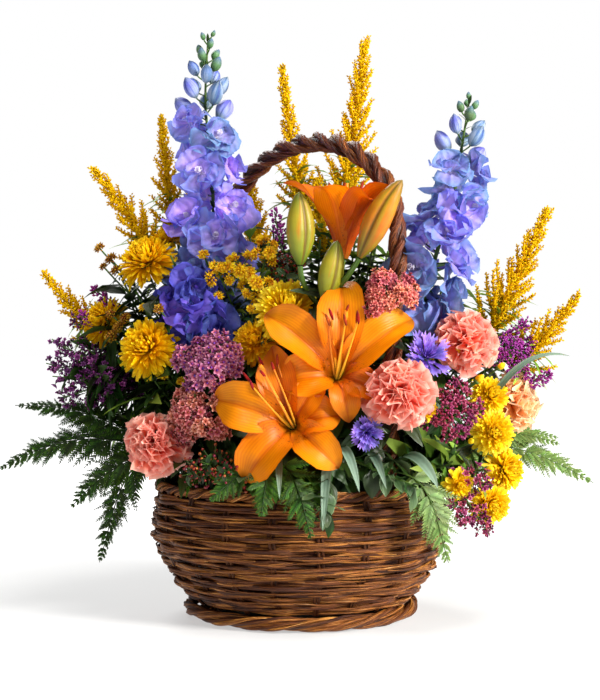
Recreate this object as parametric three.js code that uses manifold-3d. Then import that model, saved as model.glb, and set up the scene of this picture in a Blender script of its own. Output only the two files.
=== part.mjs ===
// A round wicker basket with a twisted handle, filled with a florist's arrangement of cut flowers and greenery.
// Millimetres, +Z up. The basket stands on z = 0, its axis is +Z, and the arrangement's front looks to -Y.
import * as THREE from 'three';
import { mergeVertices } from 'three/addons/utils/BufferGeometryUtils.js';
import Module from 'manifold-3d';

const wasm = await Module();
wasm.setup();

// Driving dimensions
const CLEARANCE = 0.4;
const BASE = { radius: 102.8, thick: 7, around: 24 };
const FOOT = { radius: 110, inner: 103.3, bottom: 0, top: 16, half: 6, lobes: 6 };
const WALL = { bottom: 16.4, top: 122, bulge: 146.5, bulgeHeight: 97, flare: 0.0057, thick: 7, rows: 8, around: 20 };
const RIM = { radius: 139.5, inner: 133.3, bottom: 122.4, top: 134, half: 6.2, lobes: 7 };
const LINER = { bottom: 7.4, top: 127, foot: 88, mouth: 113.6, wall: 1.6, around: 20 };
const FOAM = { bottom: 9.4, foot: 85.8, shoulder: 142, mouth: 110, top: 150, lid: 100 };
const HANDLE = { turn: -50, centre: 9, span: 131, spring: 372, apex: 467, tip: 10.3, groove: 8, slim: 0.83, pitch: 86 };
const STEM_DEPTH = 34;
const GOLDEN_ANGLE = Math.PI * (3 - Math.sqrt(5));

// Colours and finishes
const finish = (color, roughness = 0.7) => new THREE.MeshStandardMaterial({ color, roughness, metalness: 0 });
const LOOK = {
  wicker: finish(0x6b3f22, 0.6),
  darkWicker: finish(0x4a2614, 0.5),
  liner: finish(0x1d2a1c, 0.4),
  foam: finish(0x2f5a2c, 0.95),
  orange: finish(0xf07c0a, 0.45),
  bud: finish(0xb9a52c, 0.5),
  stem: finish(0x5a7a2a, 0.6),
  blue: finish(0x5a5fd8, 0.6),
  salmon: finish(0xf5806e, 0.7),
  peach: finish(0xf6a663, 0.7),
  yellow: finish(0xf5c400, 0.65),
  ochre: finish(0xd79a12, 0.8),
  gold: finish(0xe0a80c, 0.8),
  mauve: finish(0xb85c92, 0.8),
  rose: finish(0xb5606a, 0.8),
  coral: finish(0xc7524e, 0.8),
  burgundy: finish(0x7a1f3d, 0.8),
  magenta: finish(0x8c2180, 0.8),
  purple: finish(0x4f1454, 0.8),
  violet: finish(0x6a3fc4, 0.7),
  berry: finish(0x7c1a12, 0.4),
  fern: finish(0x24501c, 0.6),
  cedar: finish(0x7fa552, 0.7),
  eucalyptus: finish(0x6d9478, 0.55),
};

const vec = (x, y, z) => new THREE.Vector3(x, y, z);
const at = ([x, y, z]) => vec(x, y, z);
const aim = ([x, y, z]) => vec(x, y, z).normalize();
const mix = (a, b, t) => a.clone().lerp(b, t);
const step = (p, direction, length) => p.clone().addScaledVector(direction, length);
const between = (a, b) => b.clone().sub(a).normalize();
const radians = THREE.MathUtils.degToRad;
const range = (n) => [...Array(Math.max(n, 0)).keys()];
const UP = vec(0, 0, 1);

// A repeatable scatter value from 0 to 1.
function scatter(i, channel = 0) {
  const v = Math.sin(i * 12.9898 + channel * 78.233) * 43758.5453;
  return v - Math.floor(v);
}

// Two directions at right angles to an axis: sideways, and as near to up as there is.
function across(axis) {
  const hint = Math.abs(axis.z) < 0.95 ? vec(0, 0, 1) : vec(0, 1, 0);
  const side = hint.cross(axis).normalize();
  return [side, axis.clone().cross(side)];
}

// The direction that leans `tilt` away from an axis, at an angle round it.
function lean(axis, tilt, angle) {
  const [side, up] = across(axis);
  const out = side.multiplyScalar(Math.cos(angle)).addScaledVector(up, Math.sin(angle));
  return axis.clone().multiplyScalar(Math.cos(tilt)).addScaledVector(out, Math.sin(tilt));
}

// A circle of points round a place on an axis.
function hoop(middle, axis, radius, count, shift = 0) {
  if (radius === 0) return [middle];
  return range(count).map((k) => step(middle, lean(axis, Math.PI / 2, (2 * Math.PI * (k + shift)) / count), radius));
}

// A mesh is { points, faces }. This turns all its faces outwards.
function outward(mesh) {
  let volume = 0;
  for (const [a, b, c] of mesh.faces) {
    volume += mesh.points[a].dot(mesh.points[b].clone().cross(mesh.points[c]));
  }
  if (volume < 0) mesh.faces.forEach((f) => f.reverse());
  return mesh;
}

// The corners of each cell between two rings of points. A ring of one point is a tip.
function cellsBetween(a, b) {
  const count = Math.max(a.length, b.length);
  return range(count).map((i) => {
    const j = (i + 1) % count;
    if (a.length === 1) return [a[0], b[j], b[i]];
    if (b.length === 1) return [a[i], a[j], b[0]];
    return [a[j], b[j], b[i], a[i]];
  });
}

// Joins rings of points into one closed body. Cells with a tip of their own are drawn out to it, and wide ends are capped.
function skin(rings, { tips = [], loop = false } = {}) {
  const points = rings.flat();
  const index = new Map(points.map((p, i) => [p, i]));
  const faces = [];
  const fan = (corners) => range(corners.length - 2).map((k) => [corners[0], corners[k + 1], corners[k + 2]]);
  range(rings.length - (loop ? 0 : 1)).forEach((r) => {
    cellsBetween(rings[r], rings[(r + 1) % rings.length]).forEach((cell, i) => {
      const corners = cell.map((p) => index.get(p));
      const tip = tips[r]?.[i];
      if (!tip) return faces.push(...fan(corners));
      const peak = points.push(tip) - 1;
      corners.forEach((c, k) => faces.push([c, corners[(k + 1) % corners.length], peak]));
    });
  });
  if (!loop) {
    faces.push(...fan(rings[0].map((p) => index.get(p)).reverse()));
    faces.push(...fan(rings.at(-1).map((p) => index.get(p))));
  }
  return outward({ points, faces });
}

// The same mesh, grown by a margin on every side.
function grown(mesh, margin) {
  const normals = mesh.points.map(() => vec(0, 0, 0));
  for (const f of mesh.faces) {
    const [a, b, c] = f.map((i) => mesh.points[i]);
    const normal = b.clone().sub(a).cross(c.clone().sub(a));
    f.forEach((i) => normals[i].add(normal));
  }
  return { points: mesh.points.map((p, i) => step(p, normals[i].normalize(), margin)), faces: mesh.faces };
}

function solidOf(mesh) {
  return new wasm.Manifold(
    new wasm.Mesh({
      numProp: 3,
      vertProperties: new Float32Array(mesh.points.flatMap((p) => p.toArray())),
      triVerts: new Uint32Array(mesh.faces.flat()),
    }),
  );
}

function geometryOf(solid) {
  const { vertProperties, triVerts } = solid.getMesh();
  return new THREE.BufferGeometry()
    .setAttribute('position', new THREE.BufferAttribute(vertProperties, 3))
    .setIndex(new THREE.BufferAttribute(triVerts, 1));
}

// The rings of a rod along a path, with a radius for each point or one for all. With a twist each ring is turned half a step.
function rod(path, radius, sides = 3, twist = 0) {
  let side = null;
  return path.map((p, i) => {
    const tangent = between(path[Math.max(i - 1, 0)], path[Math.min(i + 1, path.length - 1)]);
    side = side ? side.addScaledVector(tangent, -side.dot(tangent)).normalize() : across(tangent)[0];
    const up = tangent.clone().cross(side);
    const r = Array.isArray(radius) ? radius[i] : radius;
    if (r === 0) return [p];
    return range(sides).map((k) => {
      const angle = (2 * Math.PI * (k + twist * i)) / sides;
      return step(step(p, side, r * Math.cos(angle)), up, r * Math.sin(angle));
    });
  });
}

// The rings of a flat rachis or blade along a path: four corners, half as thick as `thick` above and below.
function strip(path, halves, thick, facing) {
  return path.map((p, i) => {
    const tangent = between(path[Math.max(i - 1, 0)], path[Math.min(i + 1, path.length - 1)]);
    const side = tangent.clone().cross(facing).normalize();
    const up = side.clone().cross(tangent);
    const half = halves[i];
    if (half === 0) return [p];
    return [[-half, thick], [half, thick], [half, -thick], [-half, -thick]].map(([u, v]) => step(step(p, side, u), up, v / 2));
  });
}

// The rings of a head on an axis: each entry of the profile is [radius, height] as shares of its size.
function dome(middle, axis, size, profile, count) {
  return profile.map(([r, h], k) => hoop(step(middle, axis, h * size), axis, r * size, count, k / 2));
}

// The rings of a leaf or petal on a rib, with its half-widths there, hollowed by `cup`: thickest along its middle.
function leaf(line, halves, up, thick, cup = 0) {
  return line.map((p, i) => {
    const half = halves[i];
    if (half === 0) return [p];
    const tangent = between(line[Math.max(i - 1, 0)], line[Math.min(i + 1, line.length - 1)]);
    const side = tangent.clone().cross(up).normalize();
    const normal = side.clone().cross(tangent);
    const rise = cup * half;
    return [[-half, rise], [0, thick / 2], [half, rise], [0, -thick / 2]].map(([u, v]) => step(step(p, side, u), normal, v));
  });
}

// A plump petal, bud or leaflet, pointed at both ends, with four corners at its widest.
function spindle(root, tip, width, thick, facing, widest = 0.6) {
  return skin(leaf([root, mix(root, tip, widest), tip], [0, width / 2, 0], facing, thick));
}

// A rib that sets off along a direction and bends evenly towards `up`, by `curl` radians in all.
function rib(root, direction, up, length, curl, count) {
  const radius = length / curl;
  return range(count + 1).map((i) => {
    const a = (curl * i) / count;
    return step(step(root, direction, radius * Math.sin(a)), up, radius * (1 - Math.cos(a)));
  });
}

// A smooth curve from one point to another, leaving and arriving along given directions, pushed aside in its middle.
function bow(from, leave, to, arrive, count, push = vec(0, 0, 0)) {
  const reach = from.distanceTo(to) * 0.4;
  const handles = [step(from, leave, reach).add(push), step(to, arrive, -reach).add(push)];
  return new THREE.CubicBezierCurve3(from, ...handles, to).getPoints(count);
}

// Everything that has its place. A new stem or petal keeps clear of what belongs to another piece.
const placed = [];
const plants = [];
const SHARES = [1, 0.88, 0.76, 0.64, 0.52, 0.4];
const BENDS = [[0, 0]];
for (const reach of [7, 13, 20, 28]) {
  for (const turn of range(8)) BENDS.push([reach * Math.cos((turn * Math.PI) / 4), reach * Math.sin((turn * Math.PI) / 4)]);
}

function occupy(owner, mesh) {
  const solid = solidOf(mesh);
  placed.push({ owner, solid, box: new THREE.Box3().setFromPoints(mesh.points) });
  return solid;
}

function isClear(owner, mesh) {
  const swollen = grown(mesh, CLEARANCE);
  const box = new THREE.Box3().setFromPoints(swollen.points);
  const near = placed.filter((p) => p.owner !== owner && p.box.intersectsBox(box));
  if (near.length === 0) return true;
  const solid = solidOf(swollen);
  const clear = near.every((p) => solid.intersect(p.solid).isEmpty());
  solid.delete();
  return clear;
}

// One plant of the arrangement: its hearts go in first, then its stems, then its petals, florets or leaflets.
class Plant {
  constructor(name, look, steps) {
    Object.assign(this, { name, look, parts: [], stems: [] }, steps);
    plants.push(this);
  }

  add(mesh) {
    this.parts.push(occupy(this, mesh));
  }

  // Adds the largest size of a repeat that is clear of the other pieces, if there is one.
  fit(make) {
    const mesh = SHARES.map((share) => make(share)).find((m) => isClear(this, m));
    if (mesh) this.add(mesh);
    return Boolean(mesh);
  }

  // Finds a clear way for a stem, bent aside as far as its neighbours ask. Gives its path and its rings.
  way(make, ringsOf) {
    for (const [u, v] of BENDS) {
      const path = make(u, v);
      const rings = ringsOf(path);
      const mesh = skin(rings);
      if (isClear(this, mesh)) return { path, rings, mesh };
    }
    throw new Error(this.name + ' has no clear way for a stem');
  }

  limb(make, ringsOf) {
    const found = this.way(make, ringsOf);
    this.add(found.mesh);
    return found;
  }

  // Adds a stem from a spot on top of the foam to a point, arriving along a direction. It starts deep in the foam.
  root(spot, to, arrive, radius, count = 2) {
    const entry = vec(spot[0], spot[1], FOAM.top);
    const inner = vec(spot[0] * 0.72, spot[1] * 0.72, FOAM.top - STEM_DEPTH);
    const rise = between(inner, entry);
    const [side, up] = across(arrive);
    const collar = step(entry, rise, 6);
    const make = (u, v) => {
      const push = side.clone().multiplyScalar(u).addScaledVector(up, v);
      return [inner, ...bow(collar, rise, to, arrive, count, push)];
    };
    const stem = this.limb(make, (path) => rod(path, radius));
    const [foot, mouth] = [step(inner, rise, -0.6), collar];
    this.stems.push(skin(rod([foot, mouth], [radius + 1, radius + 1.4])));
    return stem;
  }

  // Adds a body whose cells are drawn out into petals, grains or leaflets, each as far as its neighbours let it.
  grow(rings, draw) {
    const tips = range(rings.length - 1).map((r) =>
      cellsBetween(rings[r], rings[r + 1]).map((corners, i) => {
        const middle = corners.reduce((sum, p) => sum.add(p), vec(0, 0, 0)).divideScalar(corners.length);
        const peak = draw(r, i, middle);
        const tip = peak && SHARES.map((s) => mix(middle, peak, s)).find((t) => isClear(this, skin([corners, [t]])));
        return tip || null;
      }),
    );
    this.add(skin(rings, { tips }));
  }

  // Adds a body of ruffled layers between its valleys: each layer's petal edge is drawn in where a neighbour is in the way.
  ruffle(foot, valleys, edges) {
    const layers = edges.map((edge, k) => {
      const [below, above] = [valleys[k], valleys[k + 1]];
      const root = (i) => mix(below[i], above[i], 0.5);
      const shares = edge.map((_, i) => {
        const j = (i + 1) % edge.length;
        const clear = SHARES.find((s) => {
          const ridge = [mix(root(i), edge[i], s), mix(root(j), edge[j], s)];
          const wedge = [
            skin([[below[i], below[j], above[i]], [ridge[0]]]),
            skin([[above[i], above[j], below[j]], [ridge[1]]]),
            skin([[ridge[0], above[i], below[j]], [ridge[1]]]),
          ];
          return wedge.every((part) => isClear(this, part));
        });
        return clear || 0.1;
      });
      return edge.map((p, i) => mix(root(i), p, Math.min(shares[i], shares.at(i - 1))));
    });
    this.add(skin([[foot], ...valleys.flatMap((ring, k) => (layers[k] ? [ring, layers[k]] : [ring]))]));
  }
}

// Basket

const wallRadius = (z) => WALL.bulge - WALL.flare * (z - WALL.bulgeHeight) ** 2;

function circle(radius, z, count, wave = () => 0) {
  return range(count).map((i) => {
    const angle = (2 * Math.PI * i) / count;
    const r = radius + wave(i);
    return vec(r * Math.cos(angle), r * Math.sin(angle), z);
  });
}

// The woven wall, open at both ends: rows of rods that pass before and behind the stakes in turn.
function wovenWall() {
  const rowHeight = (WALL.top - WALL.bottom) / WALL.rows;
  const outside = range(2 * WALL.rows + 1).map((level) => {
    const z = WALL.bottom + (level * rowHeight) / 2;
    const row = (level - 1) / 2;
    const weave = (i) => (level % 2 ? 1.2 + 1.6 * ((i + row) % 2 ? 1 : -1) : -1.6);
    return circle(wallRadius(z), z, WALL.around, weave);
  });
  const inside = [WALL.top, 70, WALL.bottom].map((z) => circle(wallRadius(z) - WALL.thick, z, WALL.around));
  return skin([...outside, ...inside], { loop: true });
}

// A border of rods twisted round the basket: a ring with a rope's relief, flat where it meets its neighbours.
function twistedRing({ radius, inner, bottom, top, half, lobes }) {
  const count = 4 * lobes;
  const middle = (bottom + top) / 2;
  const rings = range(count).map((i) => {
    const angle = (2 * Math.PI * i) / count;
    return range(6).map((k) => {
      const round = (Math.PI * k) / 3;
      const swell = half * (1.12 + 0.14 * Math.cos(2 * round - lobes * angle));
      const r = Math.max(radius + swell * Math.cos(round), inner);
      const z = THREE.MathUtils.clamp(middle + swell * Math.sin(round) * 1.3, bottom, top);
      return vec(r * Math.cos(angle), r * Math.sin(angle), z);
    });
  });
  return skin(rings, { loop: true });
}

// The handle: three thick strands twisted together, as a six-cornered section that turns as it goes.
// It runs up inside the wall and the rim, slimmer there, then leans out a little and goes over in a flat arch.
function handle() {
  const steps = 16;
  const arch = range(steps + 1).map((i) => {
    const angle = (Math.PI * i) / steps;
    const height = HANDLE.spring + (HANDLE.apex - HANDLE.spring) * Math.sin(angle);
    return [HANDLE.centre + HANDLE.span * Math.cos(angle), height];
  });
  const leg = (hand) => [
    [hand * 119.5, 60],
    [hand * 126.2, 90],
    [hand * 126.4, 136],
    [hand * 128, 165],
    [hand * 130 + HANDLE.centre / 2, 270],
    [hand * HANDLE.span + HANDLE.centre, HANDLE.spring - 40],
  ];
  const turn = radians(HANDLE.turn);
  const line = [...leg(1), ...arch, ...leg(-1).reverse()];
  const path = line.map(([r, z]) => vec(r * Math.cos(turn), r * Math.sin(turn), z));
  const normal = vec(-Math.sin(turn), Math.cos(turn), 0);
  let travelled = 0;
  const rings = path.map((p, i) => {
    if (i > 0) travelled += p.distanceTo(path[i - 1]);
    const out = between(path[Math.max(i - 1, 0)], path[Math.min(i + 1, path.length - 1)]).cross(normal);
    const slim = p.z < 150 ? HANDLE.slim : 1;
    return range(6).map((k) => {
      const angle = (Math.PI * k) / 3 + (2 * Math.PI * travelled) / HANDLE.pitch;
      const r = slim * (k % 2 ? HANDLE.groove : HANDLE.tip);
      return step(step(p, out, r * Math.cos(angle)), normal, r * Math.sin(angle));
    });
  });
  return skin(rings);
}

// A body turned about the basket's axis. Its [radius, height] pairs start and end on that axis.
function turned(profile, count) {
  const lathe = new THREE.LatheGeometry(profile.map(([r, z]) => new THREE.Vector2(r, z)), count);
  lathe.deleteAttribute('normal');
  lathe.deleteAttribute('uv');
  const { attributes, index } = mergeVertices(lathe.rotateX(Math.PI / 2), 1e-4);
  const points = range(attributes.position.count).map((i) => vec(0, 0, 0).fromBufferAttribute(attributes.position, i));
  const triangles = range(index.count / 3).map((t) => [0, 1, 2].map((k) => index.getX(3 * t + k)));
  return outward({ points, faces: triangles.filter((corners) => new Set(corners).size === 3) });
}

const baseProfile = [
  [0, 0],
  [BASE.radius, 0],
  [BASE.radius, BASE.thick],
  [0, BASE.thick],
];
const linerProfile = [
  [0, LINER.bottom],
  [LINER.foot, LINER.bottom],
  [LINER.mouth, LINER.top],
  [LINER.mouth - LINER.wall, LINER.top],
  [LINER.foot - LINER.wall, LINER.bottom + LINER.wall],
  [0, LINER.bottom + LINER.wall],
];
const foamProfile = [
  [0, FOAM.bottom],
  [FOAM.foot, FOAM.bottom],
  [FOAM.mouth, FOAM.shoulder],
  [FOAM.lid, FOAM.top],
  [0, FOAM.top],
];
const basket = [
  ['basket_base', LOOK.wicker, turned(baseProfile, BASE.around)],
  ['basket_foot', LOOK.darkWicker, twistedRing(FOOT)],
  ['basket_wall', LOOK.wicker, wovenWall()],
  ['basket_rim', LOOK.wicker, twistedRing(RIM)],
  ['basket_handle', LOOK.darkWicker, handle()],
  ['liner', LOOK.liner, turned(linerProfile, LINER.around)],
].map(([name, look, mesh]) => ({ name, look, solid: occupy(name, mesh) }));

// Lilies: six tepals that rise out of the throat, spread and curl back, and stamens that reach towards the light.
// Angles are round the face, in degrees.
const WIDE_OPEN = { segments: 4, ribs: [[0.06, 0], [0.16, 0.34], [0.55, 0.5], [1, 0.26]], halves: [0.06, 0.2, 0.46, 0.4, 0] };
const TRUMPET = { segments: 3, ribs: [[0.06, 0], [0.14, 0.36], [0.3, 0.66], [0.72, 0.9]], halves: [0.06, 0.24, 0.44, 0] };

function lily(name, { base, face, tepals, openness, stamens, spread, spot }) {
  const [foot, axis] = [at(base), aim(face)];
  return new Plant(name, LOOK.orange, {
    hearts() {
      for (const [angle, length, width] of tepals) {
        const out = lean(axis, Math.PI / 2, radians(angle));
        this.fit((share) => {
          const points = openness.ribs.map(([r, h]) => step(step(foot, out, r * length * share), axis, h * length * share));
          const halves = openness.halves.map((h) => h * width);
          return skin(leaf(new THREE.CubicBezierCurve3(...points).getPoints(openness.segments), halves, axis, 1.8, 0.22));
        });
      }
    },
    limbs() {
      if (spot) this.root(spot, step(foot, axis, -6), axis, 3);
    },
    details() {
      const reach = aim(stamens);
      const tips = range(6).map((i) => step(foot, lean(reach, spread, (Math.PI * i) / 3 + 0.3), 64));
      const profile = [[0, -9], [6.5, -4], [6.5, 4], [3, 8], [0, 60]];
      this.grow(dome(foot, axis, 1, profile, 6), (r, i) => (r === 2 ? tips[i] : null));
      for (const tip of tips) {
        const side = across(between(foot, tip))[0];
        this.fit((share) => {
          const end = mix(foot, tip, 0.97 * share);
          return spindle(step(end, side, -5), step(end, side, 5), 3.4, 3.4, axis, 0.5);
        });
      }
    },
  });
}
lily('lily_front_left', {
  base: [-6, -134, 193],
  face: [-0.13, -0.93, 0.22],
  tepals: [[163, 76, 42], [106, 74, 38], [232, 66, 42], [318, 58, 40], [12, 44, 34], [58, 50, 30]],
  openness: WIDE_OPEN,
  stamens: [-0.41, -0.56, 0.72],
  spread: 0.28,
  spot: [-4, -76],
});
lily('lily_front_right', {
  base: [34, -130, 237],
  face: [0.02, -0.93, 0.3],
  tepals: [[87, 90, 40], [140, 86, 44], [190, 52, 38], [283, 44, 30], [335, 42, 30], [37, 86, 44]],
  openness: WIDE_OPEN,
  stamens: [0.11, -0.65, 0.75],
  spread: 0.26,
  spot: [20, -66],
});
const BACK_LILY = { base: [40, -98, 347], face: [0.06, -0.04, 1] };
lily('lily_back', {
  ...BACK_LILY,
  tepals: [[-38, 84, 34], [58, 82, 34], [114, 80, 32], [172, 84, 28], [244, 76, 34], [290, 78, 34]],
  openness: TRUMPET,
  stamens: [-0.06, -0.1, 1],
  spread: 0.2,
});

// The branching lily stem carries the bloom at the back and three buds.
const LILY_BUDS = {
  lily_bud_left: { base: [0, -122, 340], tip: [-1, -128, 406], width: 27 },
  lily_bud_centre: { base: [22, -118, 306], tip: [34, -126, 362], width: 23 },
  lily_bud_right: { base: [54, -134, 346], tip: [92, -146, 415], width: 27 },
};
const BUD_PROFILE = [[0.08, 0], [0.34, 0.16], [0.5, 0.45], [0.36, 0.78], [0.1, 0.97]];
const LILY_FORK = vec(22, -88, 284);
for (const [name, { base, tip, width }] of Object.entries(LILY_BUDS)) {
  const [from, to] = [at(base), at(tip)];
  const axis = between(from, to);
  new Plant(name, LOOK.bud, {
    hearts() {
      this.add(skin(BUD_PROFILE.map(([r, h]) => hoop(mix(from, to, h), axis, r * width, 6))));
    },
  });
}
new Plant('lily_stem', LOOK.stem, {
  limbs() {
    const { path } = this.root([14, -46], LILY_FORK, UP, 3.4, 3);
    this.main = new THREE.CatmullRomCurve3(path.slice(1));
    const ends = Object.values(LILY_BUDS).map(({ base, tip }) => [at(base), between(at(base), at(tip))]);
    ends.push([step(at(BACK_LILY.base), aim(BACK_LILY.face), -9), aim(BACK_LILY.face)]);
    ends.forEach(([end, axis], k) => {
      const to = step(end, axis, -CLEARANCE - 0.2);
      const make = (u, v) => bow(step(LILY_FORK, UP, -3 - k), UP, to, axis, 3, vec(u, v, 0));
      this.limb(make, (path) => rod(path, [1.4, 2.2, 2.2, 2.2]));
    });
  },
  details() {
    range(9).forEach((i) => {
      const t = 0.12 + (0.82 * i) / 9;
      const tangent = this.main.getTangent(t);
      const out = lean(tangent, 1.15, i * GOLDEN_ANGLE);
      const length = 74 - 3 * i;
      this.fit((share) => {
        const line = rib(step(this.main.getPoint(t), out, -1), out, tangent, length * share, -0.7, 2);
        return skin(leaf(line, [0, 8 * share, 0], tangent, 1.6, 0.15));
      });
    });
  },
});

// Delphiniums: florets of five broad sepals round the stem below, buds above. The line runs from the lowest floret up.
function delphinium(name, { line, florets, buds, reach, size, spot }) {
  const curve = new THREE.CatmullRomCurve3(line.map(at));
  const floret = (heart, face, span, turn) => {
    const edge = range(10).map((k) => {
      const out = lean(face, k % 2 ? 1.42 : 1.6, (Math.PI * k) / 5 + turn);
      return step(heart, out, span * (k % 2 ? 1 : 0.64));
    });
    return skin([[step(heart, face, -2.6)], edge, [step(heart, face, 1)]]);
  };
  return new Plant(name, LOOK.blue, {
    hearts() {
      this.add(skin(rod(curve.getPoints(4), [3, 2.8, 2.5, 2, 1])));
    },
    limbs() {
      this.root(spot, curve.getPoint(0.02), curve.getTangent(0), 3);
    },
    details() {
      range(florets).forEach((i) => {
        const t = (0.66 * (i + 0.3)) / florets;
        const axis = curve.getPoint(t);
        const out = lean(curve.getTangent(t), 1.3 - 0.35 * scatter(i, 1), i * GOLDEN_ANGLE + 0.6);
        const away = reach * (1.05 - 0.35 * t) * (0.85 + 0.3 * scatter(i, 2));
        const heart = step(axis, out, away);
        if (!this.fit((share) => spindle(step(axis, out, -1.5), step(axis, out, away * share), 3.4, 3.4, UP, 0.5))) return;
        this.fit((share) => floret(heart, out, size * (1.08 - 0.35 * t) * share, i));
      });
      range(buds).forEach((i) => {
        const t = 0.66 + (0.34 * (i + 0.6)) / buds;
        const axis = curve.getPoint(t);
        const out = lean(curve.getTangent(t), 0.95 - 0.4 * (t - 0.66), i * GOLDEN_ANGLE);
        const width = size * (1.05 - 0.75 * t);
        const away = reach * (1.5 - t) * 0.95 + width;
        this.fit((share) => spindle(step(axis, out, -1), step(axis, out, away * share), width, width * 0.8, UP, 0.75));
      });
    },
  });
}
delphinium('delphinium_left', {
  line: [[-80, -14, 300], [-85, -8, 360], [-88, 0, 441], [-95, 10, 508], [-93, 16, 574]],
  florets: 11,
  buds: 5,
  reach: 25,
  size: 30,
  spot: [-36, -6],
});
delphinium('delphinium_right', {
  line: [[112, -76, 288], [126, -88, 345], [143, -84, 400], [153, -74, 452], [161, -66, 497]],
  florets: 9,
  buds: 4,
  reach: 22,
  size: 28,
  spot: [56, -28],
});
delphinium('delphinium_low', {
  line: [[-90, -66, 268], [-104, -66, 305], [-124, -58, 352]],
  florets: 5,
  buds: 2,
  reach: 18,
  size: 26,
  spot: [-54, -30],
});

// Carnations: ruffled layers with saw-edged petals. Each layer is [tilt, reach, waviness], from the outermost in.
const CARNATION_LAYERS = [
  [1.72, 0.5, 0.08],
  [1.28, 0.49, 0.1],
  [0.86, 0.46, 0.12],
  [0.42, 0.42, 0.13],
];
function carnation(name, look, { centre, face, size, spot }) {
  const [middle, axis] = [at(centre), aim(face)];
  const count = 12;
  const valley = (tilt) => range(count).map((i) => step(middle, lean(axis, tilt, (2 * Math.PI * i) / count), 0.24 * size));
  const valleys = [2.1, 1.5, 1.07, 0.64, 0.2].map(valley);
  const edges = CARNATION_LAYERS.map(([tilt, reach, wave], layer) =>
    range(count).map((i) => {
      const sway = wave * (i % 2 ? 1 : -1) + 0.1 * (scatter(i, layer) - 0.5);
      const notch = (i + 2 * layer) % 4 === 0 ? 0.84 : 1;
      const out = lean(axis, tilt + sway, (2 * Math.PI * (i + 0.3 * scatter(i, layer + 5))) / count);
      return step(middle, out, reach * size * notch * (0.96 + 0.08 * scatter(i, layer + 9)));
    }),
  );
  const foot = step(middle, axis, -0.5 * size);
  return new Plant(name, look, {
    hearts() {
      occupy(this, skin([[foot], ...valleys]));
    },
    limbs() {
      this.root(spot, step(foot, axis, 8), axis, 2.2);
    },
    details() {
      this.ruffle(foot, valleys, edges);
    },
  });
}
carnation('carnation_front', LOOK.salmon, { centre: [88, -154, 225], face: [0.12, -0.92, 0.36], size: 68, spot: [48, -62] });
carnation('carnation_left', LOOK.salmon, { centre: [-136, -104, 176], face: [-0.5, -0.84, 0.12], size: 66, spot: [-62, -58] });
carnation('carnation_right', LOOK.salmon, { centre: [156, -94, 270], face: [0.4, -0.8, 0.35], size: 66, spot: [66, -42] });
carnation('carnation_peach', LOOK.peach, { centre: [214, -8, 210], face: [0.9, -0.35, 0.16], size: 66, spot: [84, 0] });
carnation('carnation_back', LOOK.salmon, { centre: [58, 138, 250], face: [0.3, 0.85, 0.36], size: 64, spot: [36, 66] });

// Chrysanthemums: rows of pointed petals on a dome, one head on a stem or several on a forked one.
const DAISY_PROFILE = [[0.08, -0.2], [0.25, -0.1], [0.31, 0.02], [0.26, 0.14], [0.15, 0.22], [0, 0.26]];
const SMALL_PROFILE = [[0.08, -0.2], [0.28, -0.08], [0.3, 0.07], [0.17, 0.2], [0, 0.26]];
function chrysanthemum(name, look, { heads, profile = DAISY_PROFILE, around = 8, fork, heading, spot }) {
  const blooms = heads.map(([centre, face, size]) => ({ middle: at(centre), axis: aim(face), size }));
  return new Plant(name, look, {
    hearts() {
      for (const bloom of blooms) {
        bloom.rings = dome(bloom.middle, bloom.axis, bloom.size, profile, around);
        occupy(this, skin(bloom.rings));
      }
    },
    limbs() {
      const ends = blooms.map(({ middle, axis, size }) => [step(middle, axis, -0.16 * size), axis]);
      if (!fork) return this.root(spot, ...ends[0], 2.2);
      const [split, forward] = [at(fork), aim(heading)];
      this.root(spot, split, forward, 2.4);
      ends.forEach(([to, axis], k) => {
        const make = (u, v) => bow(step(split, forward, -1.6 - k), between(split, to), to, axis, 3, vec(u, u, v));
        this.limb(make, (path) => rod(path, [0.9, 1.7, 1.7, 1.7]));
      });
    },
    details() {
      blooms.forEach(({ middle, axis, size, rings }, k) => {
        this.grow(rings, (r, i, base) => {
          const out = base.clone().sub(step(middle, axis, -0.08 * size)).normalize();
          return step(middle, out, size * (0.47 + 0.06 * scatter(i + 10 * r, k)));
        });
      });
    },
  });
}
const CHRYSANTHEMUMS = {
  chrysanthemum_left: { heads: [[[-146, -88, 266], [-0.3, -0.9, 0.28], 58]], spot: [-72, -40] },
  chrysanthemum_centre: { heads: [[[-10, -98, 302], [0, -0.72, 0.68], 58]], spot: [-10, -52] },
  chrysanthemum_far_left: { heads: [[[-196, -12, 286], [-0.86, -0.4, 0.3], 50]], spot: [-76, -4] },
  chrysanthemum_top_left: {
    heads: [[[-150, -22, 350], [-0.42, -0.42, 0.8], 54], [[-134, 26, 374], [-0.3, 0.1, 0.95], 44]],
    around: 7,
    fork: [-110, 4, 296],
    heading: [-0.5, 0, 1],
    spot: [-52, -14],
  },
  chrysanthemum_back_left: { heads: [[[-72, 124, 268], [-0.35, 0.8, 0.45], 56]], spot: [-38, 60] },
  chrysanthemum_back_right: { heads: [[[132, 96, 246], [0.6, 0.7, 0.35], 54]], spot: [62, 44] },
  chrysanthemum_spray: {
    heads: [
      [[184, -60, 220], [0.35, -0.82, 0.4], 40],
      [[184, -80, 184], [0.2, -0.96, 0.1], 43],
      [[200, -64, 147], [0.62, -0.75, 0.08], 44],
      [[182, -78, 114], [0.3, -0.9, -0.2], 42],
    ],
    profile: SMALL_PROFILE,
    around: 7,
    fork: [150, -46, 176],
    heading: [0.9, -0.3, 0.1],
    spot: [78, -22],
  },
};
for (const [name, place] of Object.entries(CHRYSANTHEMUMS)) chrysanthemum(name, LOOK.yellow, place);
chrysanthemum('button_flower', LOOK.ochre, { heads: [[[-43, -100, 272], [-0.25, -0.85, 0.4], 44]], around: 8, spot: [-24, -58] });

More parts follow.
